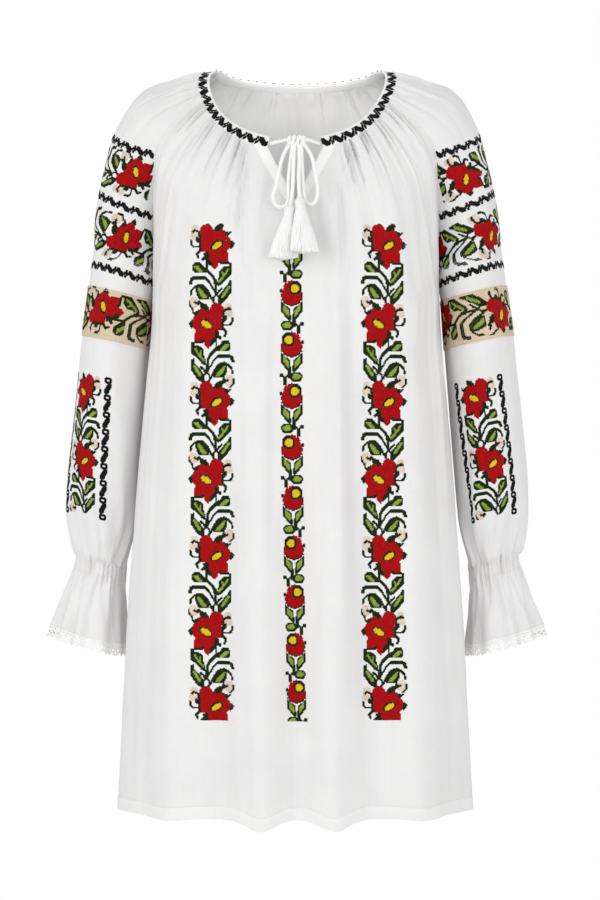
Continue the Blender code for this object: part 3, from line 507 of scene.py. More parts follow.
def narrow_lift(panel, side, number, share):
    """The lift of a panel's narrow folds and creases, which fade in and out."""
    lift = np.zeros(len(share))
    for fold_side, start, end, first, last, height, width in NARROW_FOLDS[panel]:
        down = (number - first) / (last - first)
        if fold_side != side or not 0 <= down <= 1:
            continue
        middle = start + (end - start) * down
        strength = smooth(down / NARROW_IN) if first > 0 else 1.0
        strength = strength * smooth((1 - down) / NARROW_OUT)
        lift += height * strength * np.exp(-(((share - middle) / width) ** 2))
    return lift


# %% Gathers and crumple
# Sines of unlike pitch and phase make the gathers uneven, so that nothing repeats.
GATHER_HEIGHT, WRIST_GATHER, RUFFLE_WAVE, RUFFLE_WAVES = 0.0038, 0.0022, 0.0038, 11
FINE_REACH, END_COLUMNS = 1.6, 1.5


def gathers(number, place, total, width, reach, spread):
    """Gathers that are uneven in width, height and length; place, total and width in columns."""
    turn = place / width + 0.45 * np.sin(1.9 * place / width) + 0.3 * np.sin(0.7 * place / width + 1)
    length = reach + spread * np.sin(2.4 * turn) + 0.5 * spread * np.sin(0.9 * turn + 2)
    height = 0.75 + 0.35 * np.sin(1.7 * turn + 0.5) + 0.3 * np.sin(4.3 * turn)
    fade = (0.6 + 0.4 * smooth(number / 0.4)) * (1 - smooth(number / length))
    pleat = 2 * np.abs(np.sin(math.pi * turn)) ** 0.8 - 1
    fine = 0.3 * np.sin(2.6 * math.pi * turn + 1.5 * np.sin(turn)) * (1 - smooth(number / FINE_REACH))
    ends = smooth(place / END_COLUMNS) * smooth((total - place) / END_COLUMNS)
    return GATHER_HEIGHT * (pleat * height * fade + fine) * ends


DRAPE_FROM, DRAPE_OVER, MIDDLE_FADE, SEAM_FADE = 0.6, 3, 0.14, 0.1
DRAPES = (  # waves across half a panel, drift down it, phase, height
    (3.3, 0.5, 0.4, 0.0010),
    (5.9, -0.7, 2.1, 0.0007),
    (9.7, 0.9, 4.0, 0.0003),
)


def drapes(side, number, share):
    """Long soft folds that run down the whole cloth, uneven from one to the next."""
    lift = np.zeros(len(share))
    for waves, drift, phase, height in DRAPES:
        turn = math.tau * (waves * share + drift * number / HEM) + phase * side
        fades = 0.6 + 0.4 * np.sin(0.7 * turn + phase + number / 2)
        lift += height * fades * np.sin(turn + 0.8 * np.sin(0.5 * turn + number / 3))
    begun = smooth((number - DRAPE_FROM) / DRAPE_OVER)
    return lift * begun * smooth(share / MIDDLE_FADE) * smooth((1 - share) / SEAM_FADE)


CRUMPLE_ACROSS, CRUMPLE_DOWN, CRUMPLE_HEIGHT = 70.0, 11.0, 0.0007
ROUGHNESS, LACUNARITY, OCTAVES = 0.9, 2.2, 3


def crumple(points):
    """A fine uneven lift for each point, longer down the cloth than across it."""
    scale = np.array([CRUMPLE_ACROSS, CRUMPLE_ACROSS, CRUMPLE_DOWN])
    flat = (points.reshape(-1, 3) * scale).tolist()
    lift = np.array([noise.fractal(p, ROUGHNESS, LACUNARITY, OCTAVES) for p in flat])
    return CRUMPLE_HEIGHT * lift.reshape(points.shape[:2])


print("folds by hand:", sum(len(f) for t in (BROAD_FOLDS, NARROW_FOLDS) for f in t.values()))

# %% [markdown]
# ## Fine panels
# A panel is a grid of points: rows down the cloth, columns across it. Each row is walked
# along its section's line, then every point is lifted along the cloth's own normal by its
# folds. A panel also answers where a place on it lies, which is how the embroidery, the
# facings and the stitches are put on it later, so they follow every fold.

# %% Rows of each panel
HEM_TURN, HEM_STEP, TURNED_CLOTH = 12.86, 0.01, 0.0006
BACK_GATHERS, SLEEVE_GATHERS, BACK_SPREAD = 0.5, 0.8, 9
# a gather's width in columns, the sections that it reaches down, and how much that varies
FRONT_GATHER, BACK_GATHER, SLEEVE_GATHER = (1.6, 3.2, 1.6), (1.9, 1.8, 0.5), (1.5, 2.0, 0.8)
HOLLOW_WIDTH, HOLLOW_FROM, HOLLOW_OVER = 0.07, 3, 5
RUCK_CLEAR, CREASE_CLEAR, CREASE_FROM = 6, 2, 3  # columns beyond the facing, twice; a section
BACK_SHIFT, SLEEVE_SHIFT = 0.7, 1.4  # so that no two panels have the same drapes
BACK_SEAM, ARM_SEAM = 0.06, 0.08
PUFF, PUFFS, PUFF_FROM, PUFF_OVER = 0.0030, 5, 10, 2.5
SOFT_UNTIL, SOFT_OVER, SHIRR_FROM, SHIRR_OVER = 12, 1.5, 13.1, 0.8
WRIST_PUCKERS, RUFFLE_PLEATS, RUFFLE_PLEAT = 34, 23, 0.0009


def hem_turn(number):
    """The cloth is double below the hem's stitching."""
    return TURNED_CLOTH * smooth((number - HEM_TURN + HEM_STEP) / (2 * HEM_STEP))


def front_row(side, number, columns):
    line = panel_line(FRONT_TABLE, number, slit_half_width(number))
    length, edge = line_length(line), slit_half_width(number)
    distances = front_distances(number, length, columns)
    points = along(line, distances)
    across = (edge + distances) / (edge + length)
    folds, drop = broad_lift("front", side, number, across)
    hollow = CENTRE_HOLLOW * np.exp(-((across / HOLLOW_WIDTH) ** 2))
    hollow = hollow * smooth((number - HOLLOW_FROM) / HOLLOW_OVER)
    beyond = np.maximum(columns - FACING_COLUMNS, 0)
    ruck = gathers(number, FRONT_COLUMNS * across, FRONT_COLUMNS, *FRONT_GATHER)
    ruck = ruck * smooth(beyond / RUCK_CLEAR)
    points[:, 2] -= drop
    free = smooth(beyond / CREASE_CLEAR + max(number - CREASE_FROM, 0))
    creases = narrow_lift("front", side, number, across) + drapes(side, number, across)
    return points, folds - hollow + ruck + creases * free + hem_turn(number)


def back_row(side, number, columns):
    line = panel_line(BACK_TABLE, number)
    share = columns / BACK_COLUMNS
    points = along(line, share * line_length(line))
    folds, drop = broad_lift("back", side, number, share)
    points[:, 2] -= drop
    ruck = BACK_GATHERS * gathers(number, columns, BACK_COLUMNS + BACK_SPREAD, *BACK_GATHER)
    ruck = ruck * smooth((1 - share) / BACK_SEAM)
    creases = narrow_lift("back", side, number, share) + drapes(side + BACK_SHIFT, number, share)
    return points, folds + ruck + creases + hem_turn(number)


def sleeve_row(side, number, columns):
    line = sleeve_line(number)
    share = columns / SLEEVE_COLUMNS
    points = along(line, share * line_length(line))
    ends = smooth(share / ARM_SEAM) * smooth((1 - share) / ARM_SEAM)
    puff = PUFF * np.sin(math.tau * PUFFS * share + 0.6) * smooth((number - PUFF_FROM) / PUFF_OVER)
    lift = puff * smooth((WRIST + 0.2 - number) / 1.2) * ends
    shirr = smooth((number - SHIRR_FROM) / SHIRR_OVER) * (1 - smooth((number - CUFF_END + 0.1) / 1.0))
    uneven = 0.8 + 0.4 * np.sin(math.tau * 7 * share + 1) + 0.3 * np.sin(math.tau * 11 * share)
    puckers = np.cos(math.tau * WRIST_PUCKERS * share + 1.3 * np.sin(math.tau * 5 * share))
    lift = lift - WRIST_GATHER * puckers * shirr * uneven
    sheer = smooth((number - CUFF_END + 0.6) / 0.8) * (1 - smooth((number - CUFF_END - 0.3) / 1.6))
    pleats = np.cos(math.tau * RUFFLE_PLEATS * share + np.sin(math.tau * 4 * share))
    lift = lift + RUFFLE_PLEAT * pleats * sheer * uneven
    if number < ARMPIT:
        lift = lift + SLEEVE_GATHERS * gathers(number, columns, SLEEVE_COLUMNS, *SLEEVE_GATHER)
    soft = drapes(side + SLEEVE_SHIFT, number, share) * smooth(share / SEAM_FADE)
    soft = soft * (1 - smooth((number - SOFT_UNTIL) / SOFT_OVER))
    lift = lift + narrow_lift("sleeve", side, number, share) + soft
    if number > CUFF_END:
        grow = min((number - CUFF_END) / (RUFFLE_END - CUFF_END), 1.0)
        turn = math.tau * share
        wave = np.cos(RUFFLE_WAVES * turn + 0.8 * np.sin(3 * turn)) + 0.6 * np.cos(4 * turn + 1)
        lift = lift + RUFFLE_WAVE * smooth(0.15 + 0.85 * grow) * grow * wave
    return points, lift


# %% A panel as a grid
ROWS = {"front": front_row, "back": back_row, "sleeve": sleeve_row}
OUTWARD = {"front": 1, "back": -1, "sleeve": 1}


def grid_normals(points, sign):
    down, across = np.gradient(points, axis=0), np.gradient(points, axis=1)
    normals = np.cross(down, across) * sign
    return normals / np.maximum(np.linalg.norm(normals, axis=2, keepdims=True), 1e-12)


SMOOTH_SEAM, SMOOTH_TOP = 0.05, 0.4  # share of a row, and sections, where crumple fades


class Panel:
    """A panel's points and normals at fine sections and columns, on one side of the blouse."""

    def __init__(self, kind, side, numbers, columns):
        self.sign = OUTWARD[kind] * side
        self.numbers, self.columns = np.asarray(numbers, float), np.asarray(columns, float)
        rows = [ROWS[kind](side, number, self.columns) for number in self.numbers]
        base = np.array([points for points, _ in rows]) * np.array([side, 1, 1])
        lift = np.array([row_lift for _, row_lift in rows])
        share = (self.columns - self.columns[0]) / (self.columns[-1] - self.columns[0])
        seams = smooth((1 - share) / SMOOTH_SEAM)
        seams = seams * (smooth(share / SMOOTH_SEAM) if kind == "sleeve" else 1)
        seams = np.broadcast_to(seams, lift.shape) * smooth(self.numbers / SMOOTH_TOP)[:, None]
        lift = lift + crumple(base) * seams
        points = base + grid_normals(base, self.sign) * lift[:, :, None]
        points[:, :, 0] += front_drift(points[:, :, 1])
        self.points = points
        self.normals = grid_normals(points, self.sign)

    def at(self, numbers, columns):
        """Places and outward directions at these sections and columns."""
        row = np.interp(numbers, self.numbers, np.arange(len(self.numbers)))
        column = np.interp(columns, self.columns, np.arange(len(self.columns)))
        r = np.minimum(row.astype(int), len(self.numbers) - 2)
        c = np.minimum(column.astype(int), len(self.columns) - 2)
        fr, fc = (row - r)[..., None], (column - c)[..., None]
        found = []
        for grid in (self.points, self.normals):
            upper = grid[r, c] * (1 - fc) + grid[r, c + 1] * fc
            lower = grid[r + 1, c] * (1 - fc) + grid[r + 1, c + 1] * fc
            found.append(upper * (1 - fr) + lower * fr)
        return found


def between(*stretches):
    """Rising numbers: (start, end, how many steps) for each stretch."""
    runs = [np.linspace(a, b, steps + 1)[:-1] for a, b, steps in stretches]
    return np.concatenate([*runs, [stretches[-1][1]]])


BODY_NUMBERS = between((0, 2.1, 20), (2.1, 7, 28), (7, 12.85, 54), (12.85, 12.87, 2), (12.87, 13, 2))
ARM_NUMBERS = between((0, 2, 14), (2, 7, 24), (7, 12.5, 30), (12.5, 15.5, 32), (15.5, 18, 16))
LACE_NUMBERS = between((RUFFLE_END, LACE_END, 6))
panels = {}
for hand, side in SIDES.items():
    panels["front", hand] = Panel("front", side, BODY_NUMBERS, between((0, FRONT_COLUMNS, 116)))
    panels["back", hand] = Panel("back", side, BODY_NUMBERS, between((0, BACK_COLUMNS, 72)))
    panels["sleeve", hand] = Panel("sleeve", side, ARM_NUMBERS, between((0, SLEEVE_COLUMNS, 170)))
    panels["lace", hand] = Panel("sleeve", side, LACE_NUMBERS, between((0, SLEEVE_COLUMNS, 200)))
for kind in ("front", "back"):
    # Both halves share their middle column, but for the slit's two edges.
    left, right = panels[kind, "left"], panels[kind, "right"]
    joined = slice(0 if kind == "back" else int(np.argmax(BODY_NUMBERS > SLIT_END)), None)
    middle = (left.points[joined, 0] + right.points[joined, 0]) / 2
    left.points[joined, 0] = right.points[joined, 0] = middle
print("panel grids:", len(panels))

# %% Closing the sleeves into rings
for kind in ("sleeve", "lace"):
    for hand in SIDES:
        grid = panels[kind, hand]
        closed = grid.numbers >= ARMPIT
        middle = (grid.points[closed, 0] + grid.points[closed, -1]) / 2
        grid.points[closed, 0] = grid.points[closed, -1] = middle

# %% [markdown]
# ## Finishes
# Three effects are shared: a plain weave, in which warp and weft pass over each other by
# turns; the slubs of hand-spun thread, which make cloth uneven in tone; and the twist of
# embroidery thread. Each is a group with named inputs, so that fine cotton and coarse linen
# use the same weave at their own pitch. The weave reads a UV map laid out in metres.

# %% Shared effects
def new_group(name, inputs, outputs):
    group = bpy.data.node_groups.new(name, "ShaderNodeTree")
    for label, value in inputs.items():
        made = group.interface.new_socket(label, in_out="INPUT", socket_type="NodeSocketFloat")
        made.default_value = value
    for label in outputs:
        group.interface.new_socket(label, in_out="OUTPUT", socket_type="NodeSocketFloat")
    return group, group.nodes.new("NodeGroupInput"), group.nodes.new("NodeGroupOutput")


def maths(tree, operation, *values):
    """A Math node whose inputs are sockets or plain numbers; it returns its output."""
    node = tree.nodes.new("ShaderNodeMath")
    node.operation = operation
    for socket, value in zip(node.inputs, values):
        if isinstance(value, (int, float)):
            socket.default_value = value
        else:
            tree.links.new(value, socket)
    return node.outputs[0]


def cloth_axes(group):
    """Places across and down the cloth, in metres."""
    uv = group.nodes.new("ShaderNodeUVMap")
    uv.uv_map = "cloth"
    split = group.nodes.new("ShaderNodeSeparateXYZ")
    group.links.new(uv.outputs[0], split.inputs[0])
    return split.outputs


def add_noise(group, place, **inputs):
    node = group.nodes.new("ShaderNodeTexNoise")
    for label, value in inputs.items():
        node.inputs[label].default_value = value
    group.links.new(place, node.inputs["Vector"])
    return node


def make_weave_group():
    group, given, out = new_group("plain_weave", {"Pitch": 0.0005}, ["Height"])
    axes = cloth_axes(group)
    turns = maths(group, "DIVIDE", math.pi, given.outputs["Pitch"])
    warp = maths(group, "SINE", maths(group, "MULTIPLY", axes[0], turns))
    weft = maths(group, "SINE", maths(group, "MULTIPLY", axes[1], turns))
    height = maths(group, "MULTIPLY", warp, weft)
    group.links.new(maths(group, "MULTIPLY_ADD", height, 0.5, 0.5), out.inputs["Height"])
    return group


def make_slub_group():
    inputs = {"Across": 700.0, "Along": 60.0, "Blotch Size": 18.0}
    group, given, out = new_group("slubs", inputs, ["Slub", "Blotch"])
    axes, streaks = cloth_axes(group), []
    for across, along_it in ((0, 1), (1, 0)):
        joined = group.nodes.new("ShaderNodeCombineXYZ")
        for axis, scale in ((across, "Across"), (along_it, "Along")):
            scaled = maths(group, "MULTIPLY", axes[axis], given.outputs[scale])
            group.links.new(scaled, joined.inputs[axis])
        streaks.append(add_noise(group, joined.outputs[0], Scale=1.0, Detail=2.0).outputs[0])
    group.links.new(maths(group, "MULTIPLY", maths(group, "ADD", *streaks), 0.5), out.inputs["Slub"])
    place = group.nodes.new("ShaderNodeTexCoord")
    blotch = add_noise(group, place.outputs["Object"], Detail=3.0)
    group.links.new(given.outputs["Blotch Size"], blotch.inputs["Scale"])
    group.links.new(blotch.outputs[0], out.inputs["Blotch"])
    return group


def make_twist_group():
    group, given, out = new_group("twisted_thread", {"Strands": 2600.0}, ["Height", "Tone"])
    place = group.nodes.new("ShaderNodeTexCoord")
    waves = group.nodes.new("ShaderNodeTexWave")
    waves.bands_direction = "DIAGONAL"
    waves.inputs["Distortion"].default_value = 1.2
    group.links.new(place.outputs["Object"], waves.inputs["Vector"])
    group.links.new(given.outputs["Strands"], waves.inputs["Scale"])
    group.links.new(waves.outputs["Fac"], out.inputs["Height"])
    tone = add_noise(group, place.outputs["Object"], Scale=260.0)
    group.links.new(tone.outputs[0], out.inputs["Tone"])
    return group


WEAVE, SLUBS, TWIST = make_weave_group(), make_slub_group(), make_twist_group()

# %% Materials
SPECULAR, SLUB_ACROSS, SLUB_ALONG = 0.12, 0.35, 0.03  # the last two for each thread's width


def new_material(name, roughness, sheen):
    made = bpy.data.materials.new(name)
    made.use_nodes = True
    shader = made.node_tree.nodes["Principled BSDF"]
    shader.inputs["Roughness"].default_value = roughness
    shader.inputs["Sheen Weight"].default_value = sheen
    shader.inputs["Specular IOR Level"].default_value = SPECULAR
    return made, made.node_tree, shader


def use_group(tree, group, **values):
    node = tree.nodes.new("ShaderNodeGroup")
    node.node_tree = group
    for label, value in values.items():
        node.inputs[label.replace("_", " ")].default_value = value
    return node


def tone_between(tree, factor, dark, light, low=0.3, high=0.7):
    """A colour ramp between two tones of one colour."""
    ramp = tree.nodes.new("ShaderNodeValToRGB")
    ramp.color_ramp.elements[0].position, ramp.color_ramp.elements[1].position = low, high
    ramp.color_ramp.elements[0].color, ramp.color_ramp.elements[1].color = (*dark, 1), (*light, 1)
    tree.links.new(factor, ramp.inputs[0])
    return ramp.outputs[0]


def add_bump(tree, shader, height, distance):
    bump = tree.nodes.new("ShaderNodeBump")
    bump.inputs["Distance"].default_value = distance
    tree.links.new(height, bump.inputs["Height"])
    tree.links.new(bump.outputs[0], shader.inputs["Normal"])


def cloth_material(name, dark, light, pitch, slub_height, weave_height, roughness=0.9):
    """Woven cloth: slubs set its tone; weave and slubs together make its relief."""
    made, tree, shader = new_material(name, roughness, sheen=0.1)
    weave = use_group(tree, WEAVE, Pitch=pitch)
    slubs = use_group(tree, SLUBS, Across=SLUB_ACROSS / pitch, Along=SLUB_ALONG / pitch)
    tone = maths(tree, "ADD", slubs.outputs["Slub"], slubs.outputs["Blotch"])
    half = maths(tree, "MULTIPLY", tone, 0.5)
    colour = tone_between(tree, half, dark, light, low=0.38, high=0.62)
    tree.links.new(colour, shader.inputs["Base Color"])
    relief = maths(tree, "MULTIPLY", weave.outputs["Height"], weave_height)
    relief = maths(tree, "ADD", relief, maths(tree, "MULTIPLY", slubs.outputs["Slub"], slub_height))
    add_bump(tree, shader, relief, 1.0)
    return made


def thread_material(name, dark, light, strands=2600.0, height=0.00005):
    """Twisted embroidery thread or cord with a soft shine."""
    made, tree, shader = new_material(name, roughness=0.75, sheen=0.0)
    twist = use_group(tree, TWIST, Strands=strands)
    colour = tone_between(tree, twist.outputs["Tone"], dark, light)
    tree.links.new(colour, shader.inputs["Base Color"])
    add_bump(tree, shader, twist.outputs["Height"], height)
    return made


COTTON_PITCH, COTTON_WEAVE = 0.00042, 0.00004
LINEN_PITCH, LINEN_SLUBS, LINEN_WEAVE = 0.0010, 0.00014, 0.00012
COTTONS = {  # dark tone, light tone, height of its slubs
    "white_cotton": ((0.768, 0.760, 0.758), (0.805, 0.799, 0.796), 0.00010),
    "band_cotton": ((0.86, 0.855, 0.85), (0.885, 0.88, 0.875), 0.00005),
    # the facings' finish is lighter than the cloth's: a painted highlight, where their smooth strips catch
    # the light
    "facing_highlight_cotton": ((0.925, 0.92, 0.915), (0.945, 0.94, 0.935), 0.00004),
    "hem_cotton": ((0.805, 0.80, 0.797), (0.835, 0.83, 0.826), 0.00008),
}
cotton, band_cotton, facing_highlight_cotton, hem_cotton = (
    cloth_material(name, dark, light, COTTON_PITCH, slubs, COTTON_WEAVE)
    for name, (dark, light, slubs) in COTTONS.items()
)
linen = cloth_material(
    "tan_linen", (0.58, 0.45, 0.31), (0.70, 0.58, 0.42), LINEN_PITCH, LINEN_SLUBS, LINEN_WEAVE
)
lace_cotton = thread_material("lace_cotton", (0.88, 0.875, 0.87), (0.91, 0.905, 0.90))
cord_cotton = thread_material(
    "cord_cotton", (0.985, 0.985, 0.98), (0.99, 0.99, 0.985), strands=1800.0, height=0.00002
)
seam_cotton = thread_material("seam_cotton", (0.73, 0.725, 0.72), (0.77, 0.765, 0.76))
THREADS = {
    "red": ((0.31, 0.001, 0.002), (0.43, 0.001, 0.004)),
    "dark_green": ((0.006, 0.012, 0.003), (0.012, 0.024, 0.005)),
    "light_green": ((0.19, 0.28, 0.032), (0.30, 0.40, 0.06)),
    "yellow": ((0.71, 0.44, 0.007), (0.80, 0.55, 0.018)),
    "cream": ((0.66, 0.53, 0.42), (0.77, 0.65, 0.53)),
    "black": ((0.003, 0.003, 0.003), (0.010, 0.010, 0.010)),
}
thread_finish = {name: thread_material(f"{name}_thread", *tones) for name, tones in THREADS.items()}
plain = (linen, lace_cotton, cord_cotton, seam_cotton)
print("finishes:", len(COTTONS) + len(plain) + len(thread_finish))

# %% [markdown]
# ## Cloth as a thin shell
# Cotton is thin, but a sheet with no thickness shows no edge at the slit and the hem. Each
# grid becomes a mesh whose doubled points are welded, with a UV map in metres, and a solidify
# modifier then gives it a wall on its inner side. The modifier is applied, which leaves a
# plain closed mesh. The hem is cotton folded double, so less light passes through it and it
# looks whiter: the faces below its stitching have a lighter finish.

# %% Meshes from grids
CLOTH_WALL, WELD, CLEAN_EDGE = 0.0008, 1e-6, math.radians(50)
HEM_ROWS = int(np.sum(BODY_NUMBERS > HEM_TURN + 1e-6))


def grid_faces(rows, columns, sign, first=0):
    """Quads of a grid of points, wound so that they face outward."""
    at = np.arange(rows * columns).reshape(rows, columns) + first
    quads = np.stack([at[:-1, :-1], at[1:, :-1], at[1:, 1:], at[:-1, 1:]], axis=-1).reshape(-1, 4)
    return quads if sign > 0 else quads[:, ::-1]


def metre_map(points, side):
    """How far each point of a grid lies across and down the cloth."""
    across = np.linalg.norm(np.diff(points, axis=1), axis=2)
    across = np.concatenate([np.zeros((len(points), 1)), np.cumsum(across, axis=1)], axis=1)
    down = np.linalg.norm(np.diff(points, axis=0), axis=2).mean(axis=1)
    down = np.concatenate([[0], np.cumsum(down)])
    return np.stack([across * side, np.broadcast_to(down[:, None], across.shape)], axis=-1)


@contextmanager
def reshaped(mesh):
    """The mesh opened for editing, then put back and shaded smooth."""
    shape = bmesh.new()
    shape.from_mesh(mesh)
    yield shape
    shape.to_mesh(mesh)
    shape.free()
    mesh.shade_smooth()


def add_object(name, mesh, finish):
    mesh.materials.append(finish)
    return placed(name, mesh)


def frozen(made):
    """The object with its modifiers applied."""
    graph = bpy.context.evaluated_depsgraph_get()
    mesh = bpy.data.meshes.new_from_object(made.evaluated_get(graph))
    mesh.name = made.name
    made.modifiers.clear()
    made.data = mesh
    return made


def walled(made, thickness, offset=-1):
    """The object with a wall of this thickness, its rims sharp."""
    solid = made.modifiers.new("wall", "SOLIDIFY")
    solid.thickness, solid.offset = thickness, offset
    made = frozen(made)
    made.data.set_sharp_from_angle(angle=CLEAN_EDGE)
    print(made.name, len(made.data.polygons), "faces")
    return made


def add_cloth(name, finish, grids, wall=CLOTH_WALL, hem=None):
    """One shell from grids of (points, sign, side), welded where they meet."""
    points, faces, maps = [], [], []
    for grid, sign, side in grids:
        first = sum(len(p) for p in points)
        faces.append(grid_faces(*grid.shape[:2], sign, first))
        maps.append(metre_map(grid, side).reshape(-1, 2))
        points.append(grid.reshape(-1, 3))
    points, faces, maps = np.concatenate(points), np.concatenate(faces), np.concatenate(maps)
    mesh = bpy.data.meshes.new(name)
    mesh.from_pydata(points.tolist(), [], faces.tolist())
    layer = mesh.uv_layers.new(name="cloth")
    layer.data.foreach_set("uv", maps[faces.reshape(-1)].astype(np.float32).reshape(-1))
    if hem:
        rows_up = [np.repeat(np.arange(len(grid) - 1, 0, -1), grid.shape[1] - 1) for grid, _, _ in grids]
        turned = np.concatenate(rows_up) <= HEM_ROWS
        mesh.polygons.foreach_set("material_index", turned.astype(np.int32))
    with reshaped(mesh) as shape:
        bmesh.ops.remove_doubles(shape, verts=shape.verts, dist=WELD)
    made = add_object(name, mesh, finish)
    if hem:
        mesh.materials.append(hem)
    return walled(made, wall)


def ride(made, slot, *nodes):
    """The piece rides on the body, and stands for these nodes if there are any; its slot is not used."""
    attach(made, "root")
    if nodes:
        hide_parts(*nodes)
    return made


# %% Front, back and sleeves
cloth = {}
for kind in ("front", "back"):
    halves = [(panels[kind, hand], side) for hand, side in SIDES.items()]
    grids = [(half.points, half.sign, side) for half, side in halves]
    made = add_cloth(f"{kind}_cloth", cotton, grids, hem=hem_cotton)
    cloth[kind] = ride(made, "white_cotton", kind)
for hand, side in SIDES.items():
    grid = panels["sleeve", hand]
    made = add_cloth(f"sleeve_{hand}_cloth", cotton, [(grid.points, grid.sign, side)])
    stands_for = [f"{piece}_{hand}" for piece in ("sleeve", "cuff_band", "ruffle")]
    cloth["sleeve", hand] = ride(made, "white_cotton", *stands_for)

# %% [markdown]
# ## Slit facings, linen bands and neckband
# Facings and bands are strips sewn flat on a panel, so each is made from the panel's own
# surface, moved outward by its thickness. The neckband carries the yoke's slope on inward,
# as a flat casing with rounded edges, and a white piping finishes its inner rim.

# %% Strips laid on a panel
LAID_GAP, FACING_WALL, TAN_WALL = 0.0002, 0.0003, 0.0008


def add_laid(name, finish, panel, numbers, columns, wall, slot, node, side):
    places, outward = panel.at(*np.meshgrid(numbers, columns, indexing="ij"))
    grid = places + outward * (LAID_GAP + wall)
    made = add_cloth(name, finish, [(grid, panel.sign, side)], wall)
    return ride(made, slot, node)


facings, tan_bands = {}, {}
for hand, side in SIDES.items():
    rows, across = between((0, SLIT_END, 40)), between((0, FACING_COLUMNS, 14))
    front, sleeve = panels["front", hand], panels["sleeve", hand]
    # The facings take the lighter finish, which paints in the highlight on their smooth strips.
    facings[hand] = add_laid(
        f"facing_{hand}_cloth", facing_highlight_cotton, front, rows, across,
        FACING_WALL, "white_cotton", f"facing_{hand}", side,
    )
    rows, across = between((TAN_TOP, TAN_BOTTOM, 16)), between((0, SLEEVE_COLUMNS, 150))
    tan_bands[hand] = add_laid(
        f"tan_band_{hand}_linen", linen, sleeve, rows, across,
        TAN_WALL, "tan_linen", f"tan_band_{hand}", side,
    )

# %% Neckband and piping
SEAM_GAP, BAND_HEIGHT, BAND_WALL, YOKE_WALL = -0.0008, 0.0115, 0.0022, 0.0012
PIPING, PIPING_REST, PIPING_SIDES = 0.0030, 0.4, 10
BAND_LEAN, LEAN_BEHIND = 0.4, 0.07  # how far it lies down towards the neck, and over what depth
SLOPE_SECTION = 0.5  # this section and the neck edge give the yoke's slope


def neckline(pieces):
    """The neck edge from one side of the slit, round the back, to the other, and its slope."""
    lines = []
    for number in (0, SLOPE_SECTION):
        half = []
        for line, count in zip(
            (panel_line(FRONT_TABLE, number, slit_half_width(number)), yoke_sleeve_line(number),
             panel_line(BACK_TABLE, number)[::-1]),
            pieces,
        ):
            half.append(along(line, np.linspace(0, line_length(line), count + 1)))
        half = np.concatenate([half[0][:-1], half[1][:-1], half[2]])
        whole = np.concatenate([half, half[::-1][1:] * np.array([-1, 1, 1])])
        whole[:, 0] += front_drift(whole[:, 1])
        lines.append(whole)
    upward = lines[0] - lines[1]
    upward[:, 2] *= 1 - BAND_LEAN * smooth((lines[0][:, 1] + LEAN_BEHIND) / LEAN_BEHIND)
    ahead = unit(np.gradient(lines[0], axis=0))
    upward = unit(upward - ahead * np.sum(upward * ahead, axis=1, keepdims=True))
    return lines[0], upward, unit(np.cross(ahead, upward))


neck_edge, neck_upward, neck_outward = neckline((84, 60, 72))
neck_outward *= -np.sign((neck_outward[0] @ np.array([0.0, 1.0, 0.0])))
BAND_PROFILE = (  # share of the height, share of the wall from the outer side
    (0.00, 0.25), (0.05, 0.06), (0.14, 0.0), (0.50, -0.06), (0.86, 0.0), (0.95, 0.06), (1.00, 0.25),
    (1.00, 0.75), (0.95, 0.94), (0.86, 1.0), (0.50, 1.0), (0.14, 1.0), (0.05, 0.94), (0.00, 0.75),
)


def add_ring_sweep(name, finish, rings):
    """A closed skin over rings of equal count, with capped ends."""
    rings = np.asarray(rings)
    rows, count = rings.shape[:2]
    faces = []
    for r in range(rows - 1):
        for c in range(count):
            d = (c + 1) % count
            faces.append((r * count + c, r * count + d, (r + 1) * count + d, (r + 1) * count + c))
    faces += [tuple(range(count)), tuple(range(rows * count - 1, (rows - 1) * count - 1, -1))]
    mesh = bpy.data.meshes.new(name)
    mesh.from_pydata(rings.reshape(-1, 3).tolist(), [], faces)
    run, tall = run_along(rings[:, 0]), run_along(rings[0])
    layer = mesh.uv_layers.new(name="cloth")
    for loop in mesh.loops:
        layer.data[loop.index].uv = (run[loop.vertex_index // count], tall[loop.vertex_index % count])
    with reshaped(mesh) as shape:
        bmesh.ops.recalc_face_normals(shape, faces=shape.faces)
    return add_object(name, mesh, finish)


def band_face(share_up, out):
    """Points over the band's height at every place along it, out from its outer side."""
    height = SEAM_GAP + BAND_HEIGHT * share_up
    return neck_edge + neck_upward * height + neck_outward * ((BAND_WALL - YOKE_WALL) / 2 + out)


rings = np.stack([band_face(up, -deep * BAND_WALL) for up, deep in BAND_PROFILE], axis=1)
ride(add_ring_sweep("neckband_cotton", band_cotton, rings), "black_braid", "neckband")
rim = neck_edge + neck_upward * (SEAM_GAP + BAND_HEIGHT + PIPING_REST * PIPING)
turns = np.linspace(0, math.tau, PIPING_SIDES + 1)[:-1]
rings = [
    rim + (neck_upward * math.cos(turn) + neck_outward * math.sin(turn)) * PIPING / 2 for turn in turns
]
piping = add_ring_sweep("neck_piping_cotton", band_cotton, np.stack(rings, axis=1))
ride(piping, "white_cotton", "neck_piping")
print("neckline:", round(line_length(neck_edge), 3), "m")

# %% [markdown]
# ## Tie cords
# The tie is two twisted cotton cords. Each comes out of one end of the neckband, runs into
# the bow's knot, makes a loop and comes back over the knot to hang with a tassel. Geometry
# Nodes sweep a three-lobed strand along the cord's line and tilt it as it goes, which is
# exactly what twisting does.

